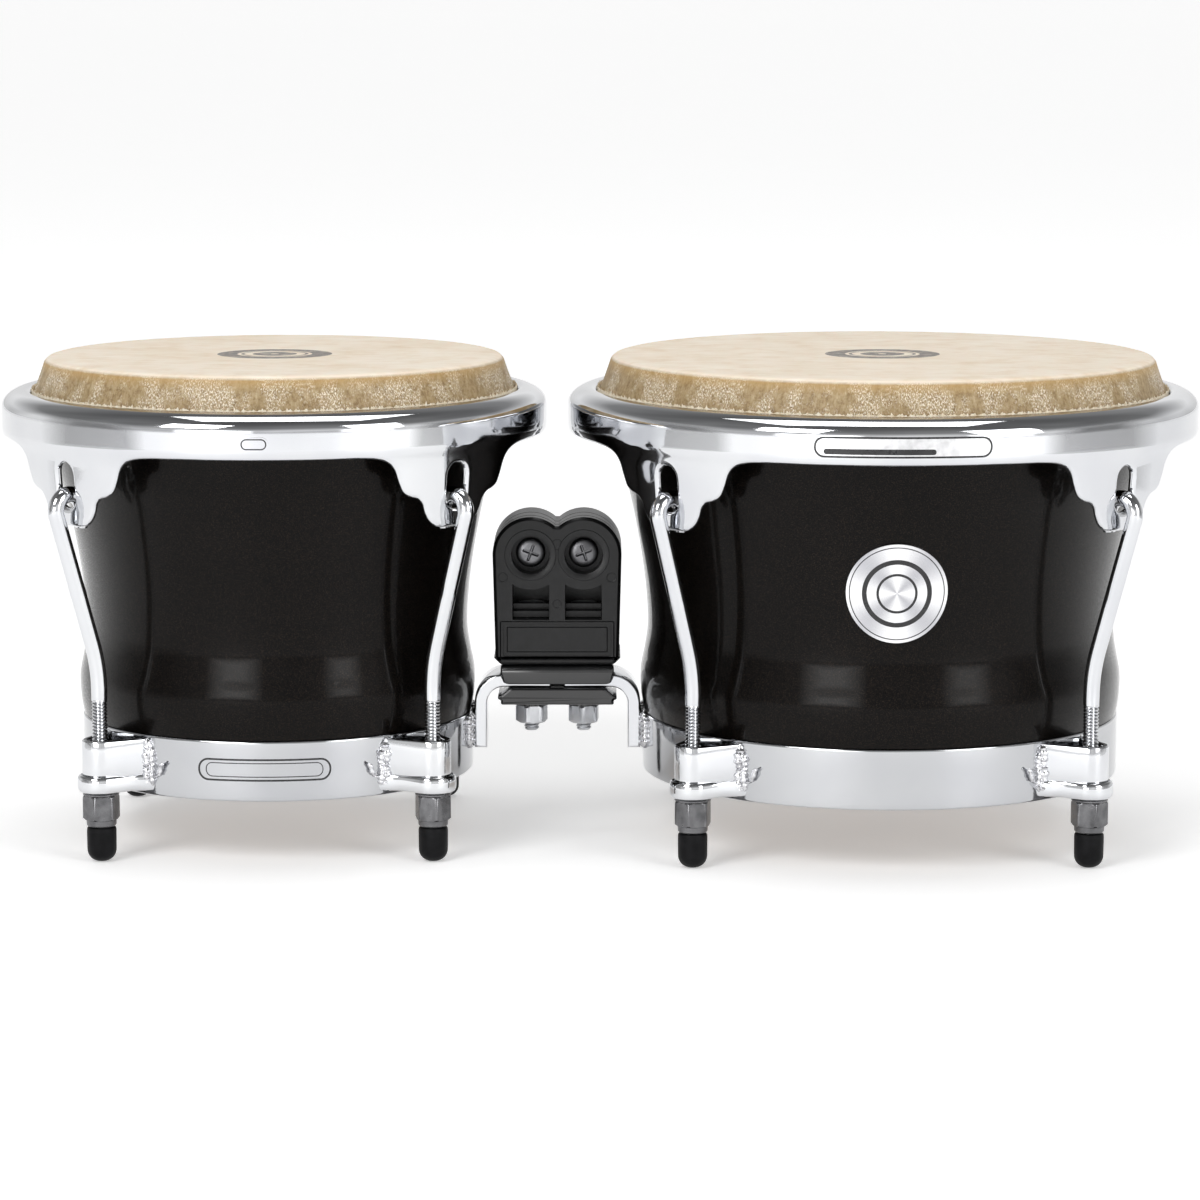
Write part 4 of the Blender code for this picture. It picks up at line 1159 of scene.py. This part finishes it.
# ---------------------------------------------------------------- the clamp
def standing(rows):
    """Turns rows of (x, height, depth) into space, with x from the block's middle and depth along Y."""
    rows = np.asarray(rows, float)
    return np.stack([rows[..., 0] + BLOCK_X, rows[..., 2], rows[..., 1]], axis=-1)


def block_outline():
    notch = math.degrees(math.acos(-LOBE / LOBE_RADIUS)) - 4
    right = arc((LOBE, LOBE_HEIGHT), LOBE_RADIUS, 0, notch, 40)
    chamfer = 3.0 * MM
    foot = [(-HALF_WIDTH, BLOCK_LOW + chamfer), (-HALF_WIDTH + chamfer, BLOCK_LOW)]
    foot += [(-x, z) for x, z in reversed(foot)]
    return np.vstack([right, right[::-1] * (-1, 1), rounded_corners(foot, 1.0 * MM, 4)])


def window_outline(side):
    """A window whose top edge bulges down below the pocket."""
    half, low, bulge = 7.0 * MM, 83.5 * MM, 13.2 * MM
    centre = side * BOLT_REACH
    reach = math.degrees(math.asin(half / bulge))
    top = arc((centre, LOBE_HEIGHT), bulge, 270 + reach, 270 - reach, 13)
    return np.vstack([[(centre - half, low), (centre + half, low)], top])


def make_block():
    """Three moulded layers with shared pockets, windows, screw holes and a nameplate recess."""
    holes = []
    for side in (-1, 1):
        lobe = (side * LOBE, LOBE_HEIGHT)
        holes.append((circle(lobe, 7.25 * MM, 48), -HALF_DEPTH + 9.0 * MM))
        holes.append((window_outline(side), 6.0 * MM))
        holes.append((circle(lobe, 2.4 * MM, 24), HALF_DEPTH - 5.0 * MM))
    plate = rounded_loop(41.2, 12.6, 0.8, 4) + (0, 75.6 * MM)
    holes.append((plate, -HALF_DEPTH + 1.0 * MM))
    outside = -HALF_DEPTH - 2 * MM
    seam = -9.4 * MM
    gap = 0.1 * MM
    spans = {
        "clamp_block_face": (-HALF_DEPTH, seam - gap, 1.2 * MM, 0.4 * MM, ["clamp_block_front"]),
        "clamp_block_core": (seam + gap, -0.15 * MM, 0.4 * MM, 0.4 * MM, []),
        "clamp_block_back": (0.15 * MM, HALF_DEPTH, 0.4 * MM, 1.2 * MM, ["clamp_block_rear"]),
    }
    for name, (front, back, front_edge, back_edge, nodes) in spans.items():
        layers = [
            (front_edge + gap, front),
            (front_edge, front),
            (front_edge * 0.45, front + front_edge * 0.42),
            (0.0, front + front_edge),
            (0.0, back - back_edge),
            (back_edge, back),
            (back_edge + gap, back),
        ]
        body = Form().grid(standing(layered(block_outline(), layers))).mesh(f"{name}_body", 30)
        cutters = [
            Form().grid(standing(layered(outline, [(0.0, outside), (0.0, end)]))).mesh("hole", 30)
            for outline, end in holes
        ]
        mesh = cut(body, cutters, name, 28)
        piece = show(mesh, "frame", "plastic", nodes)
        if name == "clamp_block_face":
            modifier = piece.modifiers.new("soft_edges", "BEVEL")
            modifier.width = 0.30 * MM
            modifier.segments = 2
            modifier.limit_method = "ANGLE"
            modifier.angle_limit = math.radians(32)
            modifier.harden_normals = True


def make_block_details():
    """Boss rings round the pockets, moulding marks, window ledges and the nameplate's frame."""
    form = Form()

    def ring(x, height, inner, outer, rise, way=1):
        """A raised ring on the front, or with way -1 on the rear."""
        inside = [(inner, 0.2), (inner, 0.1 - rise), (inner + 0.12, -rise)]
        section = [*inside, (outer - 0.25, -rise), (outer, 0.2)]
        rows = []
        for reach, depth in section:
            loop = circle((x, height), reach * MM, 64)
            rows.append(np.column_stack([loop, np.full(64, way * (depth * MM - HALF_DEPTH))]))
        form.grid(standing(rows), True)

    for side in (-1, 1):
        ring(side * LOBE, LOBE_HEIGHT, 7.3, 9.9, 0.35)
        ring(side * 20.6 * MM, 99.8 * MM, 1.5, 2.1, 0.12)
        ring(side * LOBE, LOBE_HEIGHT, 8.9, 9.9, 0.30, -1)
        ring(side * LOBE, LOBE_HEIGHT, 3.0, 3.9, 0.25, -1)
        ring(side * 17.0 * MM, 74.0 * MM, 1.5, 2.1, 0.12, -1)
    ring(0.0, 112.4 * MM, 1.7, 2.3, 0.12)
    ring(0.0, 89.6 * MM, 1.3, 1.9, 0.12)
    frames = (((38.4, 9.8, 0.5, 0.35), 75.8, -15.0), ((43.6, 15.0, 0.8, 0.45), 75.6, -16.0))
    for size, height, level in frames:
        outer, crest, inner = line_loop(*size)
        section = ((outer, 0.0), (crest, -0.28), (inner, 0.0), (crest, 0.3))
        rows = [
            np.column_stack([loop + (0, height * MM), np.full(len(loop), (level + rise) * MM)])
            for loop, rise in section
        ]
        form.grid(standing(rows), True)
    for side in (-1, 1):
        for low, high, front in ((83.5, 86.3, -10.5), (86.1, 88.6, -6.5)):
            ledge = rounded_loop(14.0, high - low, 0.3, 3)
            ledge = ledge + (side * BOLT_REACH, (low + high) / 2 * MM)
            layers = rounded_layers(front * MM, -3.6 * MM, 0.25 * MM)
            form.grid(standing(layered(ledge, layers)))
    show(form.mesh("clamp_block_details", 40), "frame", "plastic")


def make_channel():
    """The bent channel over the arms."""
    low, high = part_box("clamp_plate_upper")
    web = high.z - 3.8 * MM
    depth = high.y
    inner = depth - 3.3 * MM
    half_profile = [(depth, low.z), (inner, low.z), (inner, web)]
    profile = [(-y, z) for y, z in half_profile] + half_profile[::-1]
    profile = rounded_corners(
        [*profile, (depth, high.z), (-depth, high.z)],
        MM * np.array([0.9, 0.9, 1.0, 1.0, 0.9, 0.9, 3.0, 3.0]),
        7,
    )
    half = (high.x - low.x) / 2
    corner = 3.2 * MM
    rows = []
    for inset, along in rounded_layers(-half, half, 0.8 * MM):
        y, z = (profile - outward(profile) * inset).T
        drop = np.clip(low.z + corner - z, 0, corner)
        shorten = corner - np.sqrt(corner**2 - drop**2)
        rows.append(np.column_stack([BLOCK_X + along * (half - shorten) / half, y, z]))
    mesh = Form().grid(rows).mesh("clamp_channel", 40)
    show(mesh, "frame", "black_steel", ["clamp_plate_upper"])


def make_bar():
    """The chamfered bar below the arms, with a short ear at each end."""
    low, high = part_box("clamp_plate_lower")
    half = (high.x - low.x) / 2
    ear = half + 1.1 * MM
    middle = low.z + 1.9 * MM
    right = [
        (half, low.z), (half, middle - 0.2 * MM), (ear, middle + 0.3 * MM),
        (ear, middle + 1.6 * MM), (half - 0.2 * MM, middle + 1.9 * MM), (half - 3.5 * MM, high.z),
    ]
    corners = np.array([0.8, 0.3, 0.4, 0.4, 0.4, 1.2]) * MM
    outline = [*right, *[(-x, z) for x, z in reversed(right)]]
    outline = rounded_corners([outline[-1], *outline[:-1]], np.roll([*corners, *corners[::-1]], 1))
    rows = layered(outline, rounded_layers(low.y, high.y, 0.9 * MM))
    mesh = Form().grid(standing(rows)).mesh("clamp_bar", 40)
    show(mesh, "frame", "black_steel", ["clamp_plate_lower"])


def make_arm(drum):
    """A bent flat bar, welded to the drum's ring by beads on both sides of its leg."""
    side = -1 if drum == "macho" else 1
    ring = HEAD[drum] + RING_OFFSET
    to_axis = abs(AXIS[drum] - BLOCK_X)
    near = to_axis - ring
    leg_out = near - 1.0 * MM
    thick = 4.8 * MM
    leg_in = leg_out - thick
    level = 57.0 * MM
    bend = 6.5 * MM
    foot = span(f"{drum}_arm")[0]
    centre = (leg_in - bend, level - bend)
    end = 2.5 * MM
    outline = np.vstack(
        [
            (leg_out, foot),
            arc(centre, bend + thick, 0, 90, 18),
            [(end, level + thick), (end, level)],
            arc(centre, bend, 90, 0, 14),
            (leg_in, foot),
        ]
    )
    rows = np.array(layered(outline, rounded_layers(-12 * MM, 12 * MM, 0.75 * MM)))
    rows[..., 0] *= side
    form = Form().grid(standing(rows))

    def add_bead(out, across, size, low, high, count, seed):
        heights = np.linspace(low, high, count) * MM
        x = BLOCK_X + side * out
        form.grid(upright_bead(x, across, heights, size * MM, seed), mark=1)

    side_beads = ((12.6, 1.6, 33.4, 48.0), (14.6, 1.35, 34.6, 47.0), (16.4, 1.1, 35.5, 46.0))
    for edge in (-1, 1):
        for number, (away, size, low, high) in enumerate(side_beads):
            across = edge * away * MM
            out = to_axis - math.sqrt(ring**2 - across**2) - 0.5 * MM
            add_bead(out, across, size, low, high, 44, number * 2 + edge + side)
    for number, away in enumerate((-9.0, -3.0, 3.0, 9.0)):
        across = away * MM
        out = near - 0.4 * MM + (ring - math.sqrt(ring**2 - across**2))
        add_bead(out, across, 1.5, 34.5, 47.6, 30, number + side)
    mesh = form.mesh(f"{drum}_arm_bar", 45)
    show(mesh, "frame", ("chrome", "weld"), [f"{drum}_arm"])


def make_nut(index, spot):
    low, high = span(f"clamp_nut_{index}")
    top = (high - low) / MM
    wide = 6.35
    levels = [
        (0, 3.1, True), (0, 4.9, True), (0.25, 5.35, True), (0.9, wide, False),
        (top - 0.5, wide, False), (top, 5.7, False), (top, 3.1, True),
    ]
    rows = turned_hexagon(levels, low, 11.0, twist=math.radians(12 * index + 30))
    mesh = Form().grid(rows, True).moved(spot).mesh(f"clamp_nut_{index}_hex", 32)
    show(mesh, "frame", "zinc", [f"clamp_nut_{index}"])


def make_washer(index, spot):
    """A toothed lock washer: its rim is cut into short slanted teeth."""
    low, high = span(f"clamp_washer_{index}")
    turn = full_turn(192)
    tooth = (turn * 24 / math.tau) % 1
    bore = 3.5 * MM
    outer = np.where(tooth < 0.6, 7.45, 6.75) * MM
    lift = np.where(tooth < 0.6, 0.35 * (tooth / 0.6), 0.0) * MM
    corners = ((bore, low), (outer, low + lift), (outer, high - lift * 0.3), (bore, high))
    rows = [upright(reach, turn, height) for reach, height in corners]
    mesh = Form().grid(rows, True).moved(spot).mesh(f"clamp_washer_{index}_toothed", 30)
    show(mesh, "frame", "black_steel", [f"clamp_washer_{index}"])


def make_bolt(index, spot):
    low, high = span(f"clamp_bolt_{index}")
    steps = 48
    turn = full_turn(steps)
    thread_top = 50 * MM
    rows = []
    for height in np.arange(low, thread_top, PITCH / 8):
        phase = (height / PITCH - turn / math.tau) % 1
        reach = 3.0 * MM - 0.55 * MM * np.abs(2 * phase - 1)
        reach = np.minimum(reach, 2.2 * MM + (height - low) * 0.9)
        rows.append(upright(reach, turn, height))
    base, top = (high - low) / MM - 4.5, (high - low) / MM
    levels = [
        ((thread_top - low) / MM + 0.2, 2.95, True), (base, 2.95, True), (base, 4.6, True),
        (base + 0.2, 4.95, False), (base + 0.6, 5.7, False), (top - 0.7, 5.7, False),
        (top - 0.1, 4.9, False), (top, 4.4, True),
    ]
    rows += turned_hexagon(levels, low, 10.0, steps, 0.3)
    mesh = Form().grid(rows).moved(spot).mesh(f"clamp_bolt_{index}_threaded", 35)
    show(mesh, "frame", "zinc", [f"clamp_bolt_{index}"])


def make_screw(index, side):
    """A flat cross-recess screw at the bottom of a pocket."""
    low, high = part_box(f"block_screw_{index}")
    length = (high.y - low.y) / MM
    profile = [
        (0.0, 0.0), (3.0, 0.1), (4.6, 0.35), (5.2, 0.65), (5.5, 1.1), (5.6, 1.6), (5.6, 2.6),
        (5.3, 2.8), (2.0, 2.8), (2.0, length), (0.0, length),
    ]
    form = Form().turned([(reach * MM, -depth * MM) for reach, depth in profile], 48, False)
    form.moved(Matrix.Rotation(QUARTER, 4, "X"))
    form.moved(Matrix.Translation((BLOCK_X + side * LOBE, low.y, LOBE_HEIGHT)))
    body = form.mesh(f"block_screw_{index}_body", 40)
    depths = ((0.0, -0.5), (0.1, 1.0), (0.45, 2.0))
    layers = [(inset * MM, low.y + depth * MM) for inset, depth in depths]
    arms = []
    for turn in (0.35, 0.35 + QUARTER):
        c, s = math.cos(turn * side), math.sin(turn * side)
        arm = rounded_loop(6.6, 1.25, 0.5, 4) @ np.array([[c, s], [-s, c]])
        rows = layered(arm + (side * LOBE, LOBE_HEIGHT), layers)
        arms.append(Form().grid(standing(rows)).mesh("recess"))
    mesh = cut(body, arms, f"block_screw_{index}_cross", 35)
    # The screw wears the zinc darkened with painted shade for its pocket.
    show(mesh, "frame", "screw_zinc", [f"block_screw_{index}"])


def make_clamp():
    make_block()
    make_block_details()
    make_channel()
    make_bar()
    for drum in HEAD:
        make_arm(drum)
    for index, side in enumerate((-1, 1), 1):
        spot = Matrix.Translation((BLOCK_X + side * BOLT_REACH, 0, 0))
        make_nut(index, spot)
        make_washer(index, spot)
        make_bolt(index, spot)
        make_screw(index, side)


# ---------------------------------------------------------------- studio
def add_light(name, location, target, size, power):
    data = bpy.data.lights.new(name, "AREA")
    data.shape = "RECTANGLE"
    data.size, data.size_y = size
    data.energy = power
    light = placed(name, data)
    light.location = location
    way = Vector(target) - Vector(location)
    light.rotation_euler = way.to_track_quat("-Z", "Y").to_euler()


def flat_mesh(name, corners, material):
    mesh = bpy.data.meshes.new(name)
    mesh.from_pydata(corners, [], [(0, 1, 2, 3)])
    mesh.materials.append(material)
    return mesh


def add_card(name, location, size, turn, shade, glow=0.0):
    """A soft-edged panel that only shows in what the chrome and the lacquer reflect."""
    x, z = size[0] / 2, size[1] / 2
    made = surface(name, Roughness=0.9, Base_Color=(shade,) * 3)
    off = made.maths("ABSOLUTE", made.maths("DIVIDE", made.axis(made.place, 0), x))
    rise = made.maths("ABSOLUTE", made.maths("DIVIDE", made.axis(made.place, 2), z))
    soft = made.ramp(made.maths("MAXIMUM", off, rise), (0.25, 1.0), (1.0, 0.0))
    made.set(Alpha=soft, Emission_Color=WHITE, Emission_Strength=glow)
    corners = [(across, 0, up) for across, up in rectangle(-x, x, -z, z)]
    card = placed(name, flat_mesh(name, corners, made.owner))
    card.location = location
    card.rotation_euler = turn
    card.visible_camera = False
    card.visible_shadow = False
    card.visible_diffuse = False


def make_world():
    """Dark overhead and pale round the horizon, with soft clouds so that the chrome isn't even."""
    world = bpy.data.worlds.new("studio")
    bpy.context.scene.world = world
    made = Nodes(world, "Background", "Generated")
    height = made.axis(made.place, 2)
    sky = made.ramp(height, (0.0, 0.9), (0.22, 0.95), (0.48, 0.30), (1.0, 0.14))
    cloud = made.ranged(made.noise(1.6, 1.0), 0.35, 0.60, 0.70, 1.0)
    made.set(Color=made.stretched(sky, cloud))


def make_studio():
    reach = 200.0
    corners = [(x, y, 0) for x, y in rectangle(-reach, reach, -reach, reach)]
    floor = placed("floor", flat_mesh("floor", corners, make_floor()))
    make_world()
    add_light("key", (-1.1, -1.5, 1.5), (0, 0, 0.08), (0.9, 0.9), 22)
    add_light("fill", (1.3, -1.3, 1.0), (0, 0, 0.08), (0.8, 1.0), 11)
    add_light("top", (0, 0.2, 2.2), (0, 0, 0), (1.6, 1.2), 20)
    lean = math.radians(-24)
    add_card("card_left", (-0.95, -0.25, 0.30), (0.85, 0.9), (lean, 0, QUARTER * 0.9), 0.22)
    add_card("card_right", (0.98, -0.20, 0.30), (0.85, 0.9), (lean, 0, -QUARTER * 0.9), 0.22)
    add_card("box_left", (-1.0, -2.3, 0.42), (1.5, 0.75), (0, 0, lean), 0.9, 7.0)
    add_card("box_right", (1.6, -1.9, 0.40), (1.1, 0.7), (0, 0, math.radians(40)), 0.9, 5.0)


def make_camera():
    data = bpy.data.cameras.new("camera")
    data.lens = 126.5
    data.sensor_width = 36
    camera = placed("camera", data)
    camera.location = (0, -1.6, 0.3306)
    camera.rotation_euler = (QUARTER - 0.150, 0, 0)
    bpy.context.scene.camera = camera


make_camera()
for drum in HEAD:
    make_drum(drum)
make_marks()
make_clamp()
make_studio()
bpy.context.scene.view_settings.view_transform = "Standard"
